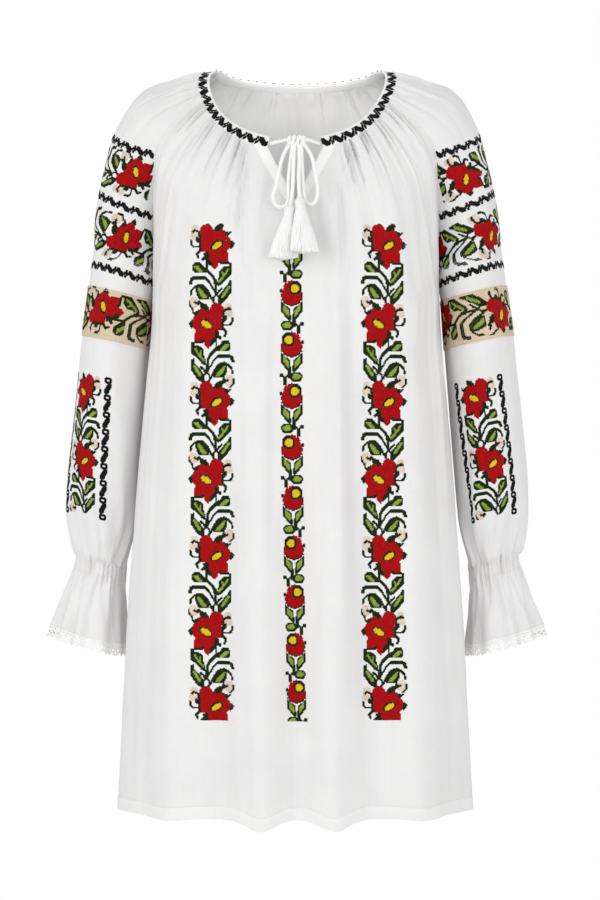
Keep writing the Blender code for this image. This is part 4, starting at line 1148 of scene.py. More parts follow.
# %% Routes of the tie
CORD, CORD_LAY = 0.0037, 0.0085  # the cord's width, and the length of one full twist
LOBE_OUT, LOBE_IN, LOBE_POINTS, CORD_STEP = 0.70, 0.50, 15, 0.0009
CORD_GAP, CORD_STUB, KNOT_INSET = 0.0002, 0.0030, 0.001
ROUTE_STEP, DENSE = 0.0016, 30
KNOT_PLACE, KNOT_HALF = np.array((-0.0018, -0.1200, -0.0930)), 0.0125
BOW_LOOPS = {
    "left": (
        (0.0036, -0.1200, -0.0985),
        (0.0052, -0.1315, -0.1400),
        (0.0064, -0.1350, -0.1595),
        (0.0100, -0.1358, -0.1665),
        (0.0158, -0.1360, -0.1685),
        (0.0208, -0.1350, -0.1625),
        (0.0222, -0.1335, -0.1520),
        (0.0208, -0.1315, -0.1400),
        (0.0182, -0.1265, -0.1240),
        (0.0148, -0.1225, -0.1110),
        (0.0072, -0.1200, -0.0985),
    ),
    "right": (
        (-0.0072, -0.1200, -0.0985),
        (-0.0112, -0.1305, -0.1380),
        (-0.0112, -0.1350, -0.1600),
        (-0.0140, -0.1360, -0.1690),
        (-0.0200, -0.1362, -0.1720),
        (-0.0262, -0.1355, -0.1690),
        (-0.0290, -0.1335, -0.1590),
        (-0.0262, -0.1315, -0.1480),
        (-0.0220, -0.1265, -0.1290),
        (-0.0178, -0.1225, -0.1120),
        (-0.0108, -0.1200, -0.0985),
    ),
}
TAILS = {
    "left": (
        (0.0000, -0.1200, -0.0985),
        (0.0012, -0.1265, -0.1150),
        (0.0006, -0.1325, -0.1340),
        (0.0008, -0.1375, -0.1500),
        (0.0020, -0.1415, -0.1640),
        (0.0027, -0.1430, -0.1700),
    ),
    "right": (
        (-0.0036, -0.1200, -0.0985),
        (-0.0052, -0.1265, -0.1150),
        (-0.0060, -0.1325, -0.1340),
        (-0.0066, -0.1372, -0.1520),
        (-0.0092, -0.1398, -0.1706),
        (-0.0104, -0.1400, -0.1770),
    ),
}
# The cord from the left end of the band hangs down on the right of the knot, and the reverse.
TAIL_OF = {"left": "right", "right": "left"}
ARCH_TOP = {"left": (0.0018, -0.1218, -0.0893), "right": (-0.0054, -0.1182, -0.0893)}
BAND_TO_KNOT = {"left": (0.0205, -0.1135, -0.0955), "right": (-0.0250, -0.1135, -0.0945)}


def band_end(hand):
    """The middle of the band's end at one side of the slit, and the way it faces."""
    end, beside = (0, 1) if hand == "left" else (-1, -2)
    place = band_face(0.5, -BAND_WALL / 2)[end]
    looks = np.cross(neck_upward[end], neck_outward[end])
    looks = looks / np.linalg.norm(looks)
    return place, looks * np.sign(looks @ (neck_edge[end] - neck_edge[beside]))


def smooth_line(points, step):
    """Points a step apart on a smooth curve through a route's own points."""
    points = np.array(points)
    dense = np.array([section(points, t) for t in np.linspace(0, len(points) - 1, DENSE * len(points))])
    length = line_length(dense)
    return along(dense, np.linspace(0, length, max(round(length / step), 2) + 1))


def tie_route(hand):
    place, looks = band_end(hand)
    out = [place + looks * CORD_GAP, place + looks * (CORD_GAP + CORD_STUB), BAND_TO_KNOT[hand]]
    knot_side = KNOT_PLACE + np.array([SIDES[hand] * (KNOT_HALF - KNOT_INSET), 0, 0])
    route = [*out, knot_side, *BOW_LOOPS[hand], ARCH_TOP[hand], *TAILS[TAIL_OF[hand]]]
    return smooth_line(route, ROUTE_STEP)


# %% Geometry Nodes helpers
class Tree:
    """A Geometry Nodes tree under construction, with named inputs for its sizes."""

    def __init__(self, name, **inputs):
        self.group = bpy.data.node_groups.new(name, "GeometryNodeTree")
        self.group.interface.new_socket("Geometry", in_out="INPUT", socket_type="NodeSocketGeometry")
        for label, value in inputs.items():
            made = self.group.interface.new_socket(label, in_out="INPUT", socket_type="NodeSocketFloat")
            made.default_value = value
        self.group.interface.new_socket("Geometry", in_out="OUTPUT", socket_type="NodeSocketGeometry")
        self.given = self.group.nodes.new("NodeGroupInput").outputs
        self.out = self.group.nodes.new("NodeGroupOutput").inputs[0]

    def node(self, kind, settings=None, **inputs):
        """A node with its settings, and its inputs linked or set to values."""
        node = self.group.nodes.new(kind)
        for label, value in (settings or {}).items():
            setattr(node, label, value)
        for label, value in inputs.items():
            key = int(label[1:]) if label[0] == "_" and label[1:].isdigit() else label.replace("_", " ")
            self.put(node.inputs[key], value)
        return node

    def put(self, socket, value):
        """Link a socket or a node's first output to this one, or set it to a value."""
        if isinstance(value, bpy.types.Node):
            value = value.outputs[0]
        if isinstance(value, bpy.types.NodeSocket):
            self.group.links.new(value, socket)
        else:
            socket.default_value = value

    def maths(self, operation, *values):
        node = self.node("ShaderNodeMath", {"operation": operation})
        for socket, value in zip(node.inputs, values):
            self.put(socket, value)
        return node

    def named(self, name, kind):
        """The values of a named attribute."""
        return self.node("GeometryNodeInputNamedAttribute", {"data_type": kind}, Name=name)

    def dressed(self, shape, finish, is_round=True):
        """The shape made real, smooth if it is round, with its finish."""
        shape = self.node("GeometryNodeRealizeInstances", Geometry=shape)
        if is_round:
            shape = self.node("GeometryNodeSetShadeSmooth", Geometry=shape)
        return self.node("GeometryNodeSetMaterial", Geometry=shape, Material=finish)

    def swept(self, line, profile, finish):
        """A skin with capped ends that carries the profile along the line."""
        skin = self.node("GeometryNodeCurveToMesh", Curve=line, Profile_Curve=profile, Fill_Caps=True)
        return self.dressed(skin, finish)

    def finish(self, shape):
        self.put(self.out, shape)
        return self.group


def grown(made, group, **sizes):
    """The object with the tree applied to it at these sizes."""
    modifier = made.modifiers.new("shape", "NODES")
    modifier.node_group = group
    for item in group.interface.items_tree:
        if item.in_out == "INPUT" and item.name in sizes:
            modifier[item.identifier] = sizes[item.name]
    return frozen(made)


def add_lines(name, lines):
    """An object of bare edges, one chain for each line of points."""
    points, edges = [], []
    for line in lines:
        first = len(points)
        points += [tuple(p) for p in line]
        edges += [(i, i + 1) for i in range(first, len(points) - 1)]
    mesh = bpy.data.meshes.new(name)
    mesh.from_pydata(points, edges, [])
    return placed(name, mesh)


# %% The twisted cord
def twisted_cord_tree(finish):
    tree = Tree("twisted_cord", Width=CORD, Lay=CORD_LAY, Step=CORD_STEP)
    width = tree.given["Width"]
    outer, inner = (tree.maths("MULTIPLY", width, share) for share in (LOBE_OUT, LOBE_IN))
    star = tree.node("GeometryNodeCurveStar", Points=3, Inner_Radius=inner, Outer_Radius=outer)
    soft = tree.node("GeometryNodeCurveSplineType", {"spline_type": "CATMULL_ROM"}, Curve=star)
    lobes = tree.node("GeometryNodeResampleCurve", {"mode": "COUNT"}, Curve=soft, Count=LOBE_POINTS)
    line = tree.node("GeometryNodeMeshToCurve", Mesh=tree.given[0])
    step = tree.given["Step"]
    even = tree.node("GeometryNodeResampleCurve", {"mode": "LENGTH"}, Curve=line, Length=step)
    length = tree.node("GeometryNodeSplineParameter").outputs["Length"]
    turn = tree.maths("MULTIPLY", tree.maths("DIVIDE", length, tree.given["Lay"]), math.tau)
    tilted = tree.node("GeometryNodeSetCurveTilt", Curve=even, Tilt=turn)
    return tree.finish(tree.swept(tilted, lobes, finish))


CORD_TREE = twisted_cord_tree(cord_cotton)
ties, tie_lines = {}, {}
for hand in SIDES:
    tie_lines[hand] = tie_route(hand)
    middle = add_lines(f"tie_cord_{hand}", [tie_lines[hand]])
    ties[hand] = grown(middle, CORD_TREE, Width=CORD, Lay=CORD_LAY)
    ride(ties[hand], "cotton_cord", f"cord_{hand}", f"bow_{hand}", f"tail_{TAIL_OF[hand]}")
    print("tie", hand, round(line_length(tie_lines[hand]), 3), "m")

# %% [markdown]
# ## The bow's knot
# The knot is the cords' own strands, turned several times over the stretch that crosses the
# slit. A helix round that stretch, swept by the same cord tree, reads as that wrapping.

# %% Knot
KNOT_TURNS, KNOT_WINDING = 3.5, (0.0034, 0.0036)
KNOT_CORD, KNOT_MARGIN, KNOT_POINTS = 0.0036, 0.0035, 160


def knot_line():
    share = np.linspace(0, 1, KNOT_POINTS)
    turn = math.tau * KNOT_TURNS * share
    across = (share - 0.5) * 2 * (KNOT_HALF - KNOT_MARGIN)
    bulge = 0.8 + 0.2 * np.sin(math.pi * share)
    deep, tall = KNOT_WINDING
    offsets = np.stack([across, -deep * bulge * np.cos(turn), tall * bulge * np.sin(turn)], axis=1)
    return KNOT_PLACE + offsets


knot = grown(add_lines("bow_knot_cord", [knot_line()]), CORD_TREE, Width=KNOT_CORD, Lay=CORD_LAY)
ride(knot, "cotton_cord", "bow_knot")

# %% [markdown]
# ## Tassels
# A tassel is one bundle of threads, folded over the cord's end and bound below the fold. The
# outer threads make the head's bulge before they hang; the inner ones only fill the skirt.
# Each thread is a line of its own, and Geometry Nodes give them all their thickness.

# %% Tassel threads
TASSELS = {  # top, bottom, and how far the skirt opens across and in depth
    "left": ((0.0016, -0.1420, -0.1610), (0.0074, -0.1530, -0.2275), 0.0162, 0.0046),
    "right": ((-0.0096, -0.1396, -0.1700), (-0.0175, -0.1430, -0.2335), 0.0172, 0.0046),
}
HEAD_RADIUS, HEAD_LENGTH, NECK_RADIUS, FOLD_RADIUS = 0.0062, 0.0115, 0.0050, 0.00175
OUTER_THREADS, INNER_THREADS, THREAD = 120, 110, 0.0014
GOLDEN_TURN, SWAY, SWAY_WAVES = 0.618034, 0.0006, 160
BINDING_TURNS, BINDING_FROM, BINDING_TALL, BINDING_OUT = 3, 0.86, 0.0024, 0.0004


def tassel_threads(hand, seed):
    """Lines of the outer and inner threads of one tassel."""
    chance = np.random.default_rng(seed)
    top, bottom, spread_x, spread_y = TASSELS[hand]
    top, bottom = np.array(top), np.array(bottom)
    length = np.linalg.norm(bottom - top)
    down = (bottom - top) / length
    lines = []
    for number in range(OUTER_THREADS + INNER_THREADS):
        outer = number < OUTER_THREADS
        turn = math.tau * number * (1 / OUTER_THREADS if outer else GOLDEN_TURN)
        reach = 1.0 if outer else math.sqrt(0.04 + 0.9 * (number - OUTER_THREADS) / INNER_THREADS)
        end = length * (1 - 0.05 * chance.random() - 0.05 * abs(math.cos(turn)) * reach)
        sway, phase = SWAY * chance.random(), 6.3 * chance.random()
        line = []
        for height in np.linspace(0.0 if outer else HEAD_LENGTH, end, 15 if outer else 9):
            if height < HEAD_LENGTH:
                share = height / HEAD_LENGTH
                bulge = math.sin(math.pi * min(share * 1.15, 1) ** 0.8)
                across = FOLD_RADIUS + (HEAD_RADIUS - FOLD_RADIUS) * bulge
                across = across if share < 0.75 else max(across, NECK_RADIUS)
                wide = deep = across
            else:
                share = (height - HEAD_LENGTH) / (length - HEAD_LENGTH)
                opened = 1 - (1 - share) ** 1.3
                wide = NECK_RADIUS + (spread_x - NECK_RADIUS) * opened
                deep = NECK_RADIUS + (spread_y - NECK_RADIUS) * opened
            wave = sway * math.sin(phase + height * SWAY_WAVES) * min(height / length * 2, 1)
            aside = np.array([math.cos(turn) * wide * reach + wave, math.sin(turn) * deep * reach, 0])
            line.append(top + down * height + aside)
        lines.append(line)
    return lines


def thread_tree(finish):
    tree = Tree("tassel_threads", Width=THREAD)
    line = tree.node("GeometryNodeMeshToCurve", Mesh=tree.given[0])
    radius = tree.maths("MULTIPLY", tree.given["Width"], 0.5)
    ring = tree.node("GeometryNodeCurvePrimitiveCircle", Resolution=3, Radius=radius)
    return tree.finish(tree.swept(line, ring, finish))


def binding_line(hand):
    """Turns of thread round the tassel's neck."""
    top, bottom = (np.array(p) for p in TASSELS[hand][:2])
    down = (bottom - top) / np.linalg.norm(bottom - top)
    whole = 2 * BINDING_TURNS * math.pi
    turn = np.linspace(0, whole, 20 * BINDING_TURNS)
    height = HEAD_LENGTH * BINDING_FROM + turn / whole * BINDING_TALL
    round_it = np.stack([np.cos(turn), np.sin(turn), 0 * turn], axis=1) * (NECK_RADIUS + BINDING_OUT)
    return top + down * height[:, None] + round_it


THREAD_TREE = thread_tree(cord_cotton)
tassels = {}
for seed, hand in enumerate(SIDES):
    lines = tassel_threads(hand, seed) + [binding_line(hand)]
    tassels[hand] = grown(add_lines(f"tassel_{hand}_threads", lines), THREAD_TREE, Width=THREAD)
    ride(tassels[hand], "cotton_cord", f"tassel_{hand}")
    print("tassel", hand, len(tassels[hand].data.polygons), "faces")

# %% [markdown]
# ## Cross-stitch charts
# Counted-thread embroidery is worked from a chart: squares, one for each crossed stitch, each
# with its thread. An embroiderer draws a new chart from outlines, so these are drawn with a
# few strokes of a brush that fills whole squares: a petal is an outline with corners, a stem
# is a stroke, a leaf is a dark shape with a light one inside. Every corner is given
# in stitches. A repeat is drawn once, and each next one is its mirror image.

# %% A brush for charts
STITCH = 0.0013
SHADES = ("bare", "red", "dark_green", "light_green", "yellow", "cream", "black")
DARK, LIGHT = "dark_green", "light_green"


class Chart:
    """Squares by row and column, each holding the number of its thread."""

    def __init__(self, tall, wide):
        self.squares = np.zeros((tall, wide), int)
        self.down, self.across = np.meshgrid(np.arange(tall) + 0.5, np.arange(wide) + 0.5, indexing="ij")
        self.top, self.mirror_width = 0, None

    def repeat(self, top, mirror_width=None):
        """What is drawn next starts at this row, and is mirrored over this width."""
        self.top, self.mirror_width = top, mirror_width

    def spots(self, points):
        points = np.array(points, float) + (0, self.top)
        if self.mirror_width is not None:
            points[:, 0] = self.mirror_width - points[:, 0]
        return points

    def shape(self, shade, *corners):
        """Fill an outline given by its corners."""
        inside = np.zeros(self.squares.shape, bool)
        spots = self.spots(corners)
        for (x0, y0), (x1, y1) in zip(spots, np.roll(spots, -1, axis=0)):
            if y0 != y1:
                crossing = x0 + (self.down - y0) * (x1 - x0) / (y1 - y0)
                inside ^= ((y0 > self.down) != (y1 > self.down)) & (self.across < crossing)
        self.squares[inside] = SHADES.index(shade)

    def stroke(self, shade, width, *route):
        """A line of even width."""
        spots = self.spots(route)
        for (x0, y0), (x1, y1) in zip(spots[:-1], spots[1:]):
            run = max((x1 - x0) ** 2 + (y1 - y0) ** 2, 1e-9)
            t = ((self.across - x0) * (x1 - x0) + (self.down - y0) * (y1 - y0)) / run
            t = np.clip(t, 0, 1)
            off = np.hypot(self.across - x0 - t * (x1 - x0), self.down - y0 - t * (y1 - y0))
            self.squares[off <= width / 2] = SHADES.index(shade)

    def disc(self, shade, middle, half_wide, half_tall, lean=0.0):
        """An oval, leaning by this many degrees."""
        (x, y), lean = self.spots([middle])[0], math.radians(lean)
        if self.mirror_width is not None:
            lean = -lean
        right = (self.across - x) * math.cos(lean) - (self.down - y) * math.sin(lean)
        up = (self.across - x) * math.sin(lean) + (self.down - y) * math.cos(lean)
        self.squares[(right / half_wide) ** 2 + (up / half_tall) ** 2 <= 1] = SHADES.index(shade)


# %% The rose and its leaves
ROSE_REPEAT, ROSE_WIDTH = 68, 41


def draw_rose(chart):
    """One open flower with its sepals, two small blossoms beside it, and curled tendrils."""
    shape, stroke, disc = chart.shape, chart.stroke, chart.disc
    shape(DARK, (21, 7), (23, 4), (25, 1), (30, 0), (31, 2), (30, 4), (27, 8))
    shape(DARK, (31, 6), (36, 8), (37, 6), (38, 8), (35, 11), (32, 11))
    shape(DARK, (36, 14), (38, 15), (41, 17.5), (40, 19), (38, 22), (36, 21))
    shape(DARK, (27, 30), (35, 31), (36, 35), (29, 35.5), (26, 33))
    shape(DARK, (16, 29), (20, 31), (23, 37), (22, 38.5), (19, 36), (16, 33))
    shape(
        "red", (10, 4), (13, 1), (17, 0), (20, 2), (22, 6), (26, 7), (29, 4.5), (31, 6), (32, 10),
        (36, 12), (37.5, 15), (36, 22), (34, 24), (35.5, 27), (35, 33), (31, 33.5), (27, 31),
        (26, 37), (23, 40), (21, 37), (21, 33), (17.5, 30), (18, 25), (11.5, 24), (11, 13),
        (9.5, 9),
    )
    disc(DARK, (25, 18.5), 6.6, 4.0, 32)
    disc("yellow", (25, 18.8), 5.0, 2.5, 32)
    disc("yellow", (23.2, 20.3), 2.4, 1.9, 0)
    shape("cream", (2, 3), (4, 1), (7, 1), (9, 4), (6, 6), (2, 7))
    shape("cream", (1, 8), (3, 7), (8, 8), (8, 12), (4, 13), (1, 11))
    stroke(DARK, 2.2, (3.5, 6.5), (5, 5), (9, 7), (9.8, 12), (10.5, 23))
    shape(DARK, (6, 11), (8, 11), (10, 14), (10, 17), (6, 15))
    stroke(DARK, 1.8, (1.6, 14), (1.8, 17), (4, 19.5), (10, 19.5))
    stroke(DARK, 2.1, (9.5, 23), (7, 26), (8.5, 29))
    shape(DARK, (13, 25), (17.5, 24), (18, 31), (14, 31), (12, 32), (11, 30), (14, 28))


def draw_rose_leaves(chart):
    """The stem below a rose, with four leaves, an arched shoot and a pod."""
    shape, stroke = chart.shape, chart.stroke
    stroke(DARK, 1.7, (16, 31), (16, 40))
    stroke(DARK, 2.4, (17, 41), (21, 45), (23.5, 49), (24.3, 60))
    shape(DARK, (3, 36), (5, 33), (10, 33), (12, 36), (17, 39), (17, 42.5), (6, 42.5), (3, 40))
    shape(LIGHT, (4, 36), (8, 35.5), (10, 38.5), (13, 41), (12, 42), (9, 41.5), (5, 38))
    stroke(DARK, 2.9, (1.2, 51), (2.5, 47.5), (5, 46.4), (14, 46.6))
    stroke(DARK, 1.5, (14, 46), (18, 50), (21, 55), (24.5, 60.5))
    stroke(DARK, 1.9, (1.6, 61), (2.2, 57.5), (5, 54.5), (9, 52.4))
    shape(DARK, (6, 56), (8, 52), (12, 52), (16, 55), (19, 60), (18, 65.2), (9, 65.2), (7, 61))
    shape(LIGHT, (7.6, 54.5), (9.5, 55), (13, 59), (16.5, 63.2), (16, 64.2), (12, 63.5), (9, 59.5))
    stroke(DARK, 1.5, (17, 58), (20, 64), (23, 69.5))
    shape(
        DARK, (25, 52), (27, 46), (27, 41), (31, 37.5), (35.5, 37), (36, 33.6), (38, 33.6),
        (38, 44), (34, 47), (29, 52.5), (26, 54),
    )
    stroke(LIGHT, 1.8, (27.2, 50), (31.5, 45), (35, 39.6))
    stroke(LIGHT, 1.2, (30.5, 45), (29.8, 41.5))
    stroke(DARK, 1.8, (24.6, 61), (27.2, 58), (29.5, 56))
    shape(
        DARK, (26, 70), (27, 62), (31, 57), (35, 53), (36, 48.4), (38, 49.5), (38, 59), (33, 66),
        (28, 70),
    )
    stroke(LIGHT, 2.5, (30.2, 63), (32.6, 59.5), (35.4, 55))
    stroke(DARK, 1.5, (24.5, 60.5), (22.2, 63), (22, 67), (23.5, 70))
    stroke(DARK, 1.5, (24.5, 60.5), (27, 63.5), (27.2, 67), (26, 70))
    shape("cream", (0, 66), (2, 63), (6, 63), (9, 66), (9, 69), (7, 72), (3, 73), (1, 70))
    shape(DARK, (4, 67), (6, 66), (7, 67.5), (9, 65), (11, 67), (9, 70), (6, 69))
    stroke(DARK, 1.6, (0.6, 67), (0.8, 70.5), (3.5, 73.5))


def rose_panel(rows, first_mirrored=False, roses=7):
    chart = Chart(rows, ROSE_WIDTH)
    for number in range(roses):
        mirrored = (number % 2 == 1) != first_mirrored
        chart.repeat(number * ROSE_REPEAT, ROSE_WIDTH - 0.5 if mirrored else None)
        draw_rose_leaves(chart)
        draw_rose(chart)
    return chart.squares


# %% The bud border
BUD_REPEAT, BUD_WIDTH = 45, 21


def draw_bud(chart):
    """Two upright leaves, an oval one, a small sprout, and the round bud below them."""
    shape, stroke, disc = chart.shape, chart.stroke, chart.disc
    shape(DARK, (0.8, 0), (2, 0), (6, 5.5), (9, 8.5), (10, 18.5), (7, 17.5), (4, 14), (1, 10.5))
    shape(LIGHT, (2.6, 4), (5, 6.5), (7.6, 9.5), (8, 15.2), (5, 12.5), (2.6, 9.5))
    shape(DARK, (20, 0), (18.6, 0), (14.5, 5.5), (12, 8.5), (11, 18.5), (14, 17.5), (17, 14), (20, 10.5))
    shape(LIGHT, (18.2, 3.6), (15.6, 6.5), (13, 9.8), (12.8, 15.4), (15.8, 12.2), (18.2, 9.4))
    stroke(
        "bare", 1.1, (1.8, 1.4), (3.4, 3.5), (5.5, 5.1), (8, 6.1), (10.5, 6.4), (13, 6.1),
        (15.5, 5.1), (17.6, 3.5), (19.2, 1.4),
    )
    stroke(DARK, 1.6, (8.5, 17.5), (8.5, 20))
    stroke(DARK, 2.6, (12.5, 18), (13, 23))
    shape(
        DARK, (0.4, 22), (3, 19), (7, 18.6), (11, 20), (13, 22), (11, 25.5), (9, 27.4), (3, 27.4),
        (1.5, 24),
    )
    shape(LIGHT, (1.8, 22.4), (5, 20.4), (8.2, 20), (10.4, 22.6), (8, 25.4), (4.4, 25))
    stroke(DARK, 1.4, (13.5, 21.5), (16.5, 23.5), (19.6, 21.5))
    shape(DARK, (18, 20), (20.6, 20), (20.6, 23), (18.6, 23))
    stroke(DARK, 2.7, (16.8, 24), (16.4, 29))
    disc("black", (10.4, 41.4), 9.2, 9.2)
    disc("red", (10.6, 40.8), 8.9, 8.9)
    shape(
        "red", (9, 31), (10.5, 27.6), (12, 29.6), (13.4, 28.4), (14, 30.6), (16, 30.4), (18, 34),
        (14, 34),
    )
    shape("bare", (0, 27.6), (9, 27.6), (6, 29), (1, 34), (1, 40.5), (0, 42))
    shape("red", (0.6, 43.4), (3, 41), (4, 46), (2, 46))
    shape(DARK, (19.4, 36), (21, 36.6), (21, 38.6), (19.4, 38.6))
    disc(DARK, (7.6, 35.2), 5.9, 6.2)
    disc("yellow", (7.7, 35.4), 3.7, 3.6)


def bud_panel(rows, first_row):
    """The border from a row of its first repeat on."""
    chart = Chart(rows + first_row, BUD_WIDTH)
    for number in range((rows + first_row) // BUD_REPEAT + 1):
        chart.repeat(number * BUD_REPEAT, BUD_WIDTH if number % 2 == 0 else None)
        draw_bud(chart)
    return chart.squares[first_row:]


# %% The braid
def braid_panel(rows, repeat, wide, solid):
    """A plait that runs down the chart: a solid strand one way, one with an eye the other."""
    chart = Chart(rows, wide)
    near, far = solid / 2, wide - solid / 2
    for top in range(0, rows, repeat):
        chart.repeat(top)
        chart.stroke("black", solid, (far, 0.08 * repeat), (near, 0.38 * repeat))
        for first in (0.48, 0.73):
            chart.stroke("black", 2.1, (1.0, first * repeat), (wide - 1.0, (first + 0.30) * repeat))
    return chart.squares


def chain_panel(rows, repeat, wide):
    """The lighter chain down the lower sleeves: a ring, then a leaning strand."""
    chart = Chart(rows, wide)
    for top in range(0, rows, repeat):
        chart.repeat(top)
        chart.disc("black", (0.5 * wide, 3.0), 0.44 * wide, 2.9)
        chart.disc("bare", (0.5 * wide, 3.0), 0.15 * wide, 0.9)
        chart.stroke("black", 4.6, (0.68 * wide, 0.47 * repeat), (0.34 * wide, 0.84 * repeat))
    return chart.squares


# %% [markdown]
# ## Laying the charts on the cloth
# On real cloth the chart is counted on the weave. On the front, the rows of stitches hang
# plumb, so each stitch is found by shooting a ray straight back at the front's mesh. On the
# sleeves the bands run round the arm, so a stitch is found by how far it lies from a section
# and a column of the sleeve's own grid. Each stitch keeps its place, the cloth's outward
# direction and its row's direction, and Geometry Nodes turn those into crossed threads.

# %% Places on the front
RAY_FROM = -0.5


def spots_on_front(squares, left_x, top_z, ease):
    """Place, outward direction, row direction and thread for each square of a chart."""
    tree = BVHTree.FromObject(cloth["front"], bpy.context.evaluated_depsgraph_get())
    stretch, even_rows, shrink, narrow, drift = ease
    rows, columns = np.nonzero(squares)
    past = np.maximum(rows - even_rows, 0)
    down = (rows + 0.5) * stretch - shrink * past**2 / 2
    middle = squares.shape[1] / 2
    across = middle + (columns + 0.5 - middle) * (1 - narrow * past) + drift * past
    found = []
    for x, z, thread in zip(left_x + across * STITCH, top_z - down * STITCH, squares[rows, columns]):
        place, outward, _, _ = tree.ray_cast(Vector((x, RAY_FROM, z)), Vector((0, 1, 0)))
        along_row = Vector((1, 0, 0)) - outward * outward.x
        found.append((*place, *outward, *along_row.normalized(), thread))
    return np.array(found)


# %% Places on a sleeve
def below(panel, section_at, columns, down):
    """The section that lies this far down the cloth from another, at each column."""
    run = np.linalg.norm(np.diff(panel.points, axis=0), axis=2)
    run = np.concatenate([np.zeros((1, run.shape[1])), np.cumsum(run, axis=0)])
    start = np.interp(section_at, panel.numbers, np.arange(len(panel.numbers)))
    start = run[int(start)] + (run[int(start) + 1] - run[int(start)]) * (start - int(start))
    grid_column = np.interp(columns, panel.columns, np.arange(len(panel.columns)))
    first = np.minimum(grid_column.astype(int), run.shape[1] - 2)
    numbers = np.zeros(len(columns))
    for offset, weight in ((0, 1 - grid_column + first), (1, grid_column - first)):
        for column in np.unique(first):
            there = first == column
            line = run[:, column + offset]
            found = np.interp(start[column + offset] + down[there], line, panel.numbers)
            numbers[there] += weight[there] * found
    return numbers


ARM_SQUEEZE = 0.18  # how much narrower a rose is round the arm, and its leaves wider
SLOPE_ROWS, SLOPE_COLUMNS, SEAM_MARGIN, BESIDE = 0.4, 0.2, 0.15, 0.05  # sections; then columns


def sheared(panel, section_at, columns):
    """How far the grid's columns run aside for each metre down, near a section."""
    level = np.full(len(columns), section_at)
    (upper, _), (lower, _) = (panel.at(level + step, columns) for step in (-SLOPE_ROWS, SLOPE_ROWS))
    (left, _), (right, _) = (panel.at(level, columns + step) for step in (-SLOPE_COLUMNS, SLOPE_COLUMNS))
    beside, drop = unit(right - left), lower - upper
    aside = np.sum(drop * beside, axis=1)
    return aside / np.linalg.norm(drop - beside * aside[:, None], axis=1)


def spots_on_sleeve(
    hand, squares, section_at, column_at, row_at=0.0, round_arm=False, cell=STITCH, lift=0.0, lean=0.0
):
    """As for the front, for a chart that runs down a sleeve or, turned a quarter, round it."""
    panel, side = panels["sleeve", hand], SIDES[hand]
    rows, columns = np.nonzero(squares)
    threads = squares[rows, columns]
    from_middle = (columns + 0.5 - squares.shape[1] / 2) * cell
    from_row = rows + 0.5 - row_at
    if round_arm:
        wave = ROSE_REPEAT / (math.tau)
        from_row = from_row - ARM_SQUEEZE * wave * np.sin(from_row / wave)
    from_row = from_row * cell
    aside, down = (from_row, -from_middle) if round_arm else (from_middle, from_row)
    per_metre = SLEEVE_COLUMNS / line_length(sleeve_line(section_at))
    sleeve_columns = column_at + side * aside * per_metre + lean * down
    kept = (sleeve_columns > SEAM_MARGIN) & (sleeve_columns < SLEEVE_COLUMNS - SEAM_MARGIN)
    sleeve_columns, down, threads = sleeve_columns[kept], down[kept], threads[kept]
    if round_arm:
        slope = sheared(panel, section_at, sleeve_columns)
        sleeve_columns = sleeve_columns - slope * down * per_metre
        down = down * np.sqrt(1 + slope**2)
    numbers = below(panel, section_at, sleeve_columns, down)
    places, outward = panel.at(numbers, sleeve_columns)
    beside, _ = panel.at(numbers, sleeve_columns + BESIDE * side)
    along_row = beside - places
    along_row -= outward * np.sum(along_row * outward, axis=1, keepdims=True)
    along_row /= np.maximum(np.linalg.norm(along_row, axis=1, keepdims=True), 1e-9)
    return np.hstack([places + outward * lift, outward, along_row, threads[:, None]])


# %% The crossed stitch
THREAD_LONG, THREAD_WIDE = 1.42, 0.86  # in stitches
LAID_THREADS = ((-45, 0.06, 2), (45, 0.16, 3))  # degrees, ridge in stitches, points across


def stitch_tree():
    """Two crossed threads on each point: a flat one below, a raised one over it."""
    tree = Tree("crossed_stitches", Cell=STITCH)
    cell = tree.given["Cell"]
    length, width = (tree.maths("MULTIPLY", cell, size) for size in (THREAD_LONG, THREAD_WIDE))
    threads = []
    for turn, tall, columns in LAID_THREADS:
        ribbon = tree.node(
            "GeometryNodeMeshGrid", Size_X=length, Size_Y=width, Vertices_X=2, Vertices_Y=columns
        )
        place = tree.node("GeometryNodeInputPosition")
        off_middle = tree.maths("ABSOLUTE", tree.node("ShaderNodeSeparateXYZ", _0=place).outputs[1])
        slope = tree.maths("SUBTRACT", 1.0, tree.maths("DIVIDE", off_middle, width))
        up = tree.maths("MULTIPLY", tree.maths("MULTIPLY", cell, tall), slope)
        offset = tree.node("ShaderNodeCombineXYZ", Z=up)
        raised = tree.node("GeometryNodeSetPosition", Geometry=ribbon, Offset=offset)
        rotation = (0, 0, math.radians(turn))
        threads.append(tree.node("GeometryNodeTransform", Geometry=raised, Rotation=rotation))
    both = tree.node("GeometryNodeJoinGeometry")
    for thread in threads:
        tree.put(both.inputs[0], thread)
    outward, along_row = (tree.named(name, "FLOAT_VECTOR") for name in ("outward", "along_row"))
    axes = {"primary_axis": "Z", "secondary_axis": "X"}
    turned = tree.node("FunctionNodeAxesToRotation", axes, _0=outward, _1=along_row)
    spots = tree.given[0]
    copies = tree.node("GeometryNodeInstanceOnPoints", Points=spots, Instance=both, Rotation=turned)
    result = tree.node("GeometryNodeRealizeInstances", Geometry=copies)
    for number, shade in enumerate(SHADES):
        if shade == "bare":
            continue
        equal = {"data_type": "INT", "operation": "EQUAL"}
        chosen = tree.node("FunctionNodeCompare", equal, _2=tree.named("thread", "INT"), _3=number)
        result = tree.node(
            "GeometryNodeSetMaterial", Geometry=result, Selection=chosen,
            Material=thread_finish[shade],
        )
    return tree.finish(result)


STITCH_TREE = stitch_tree()


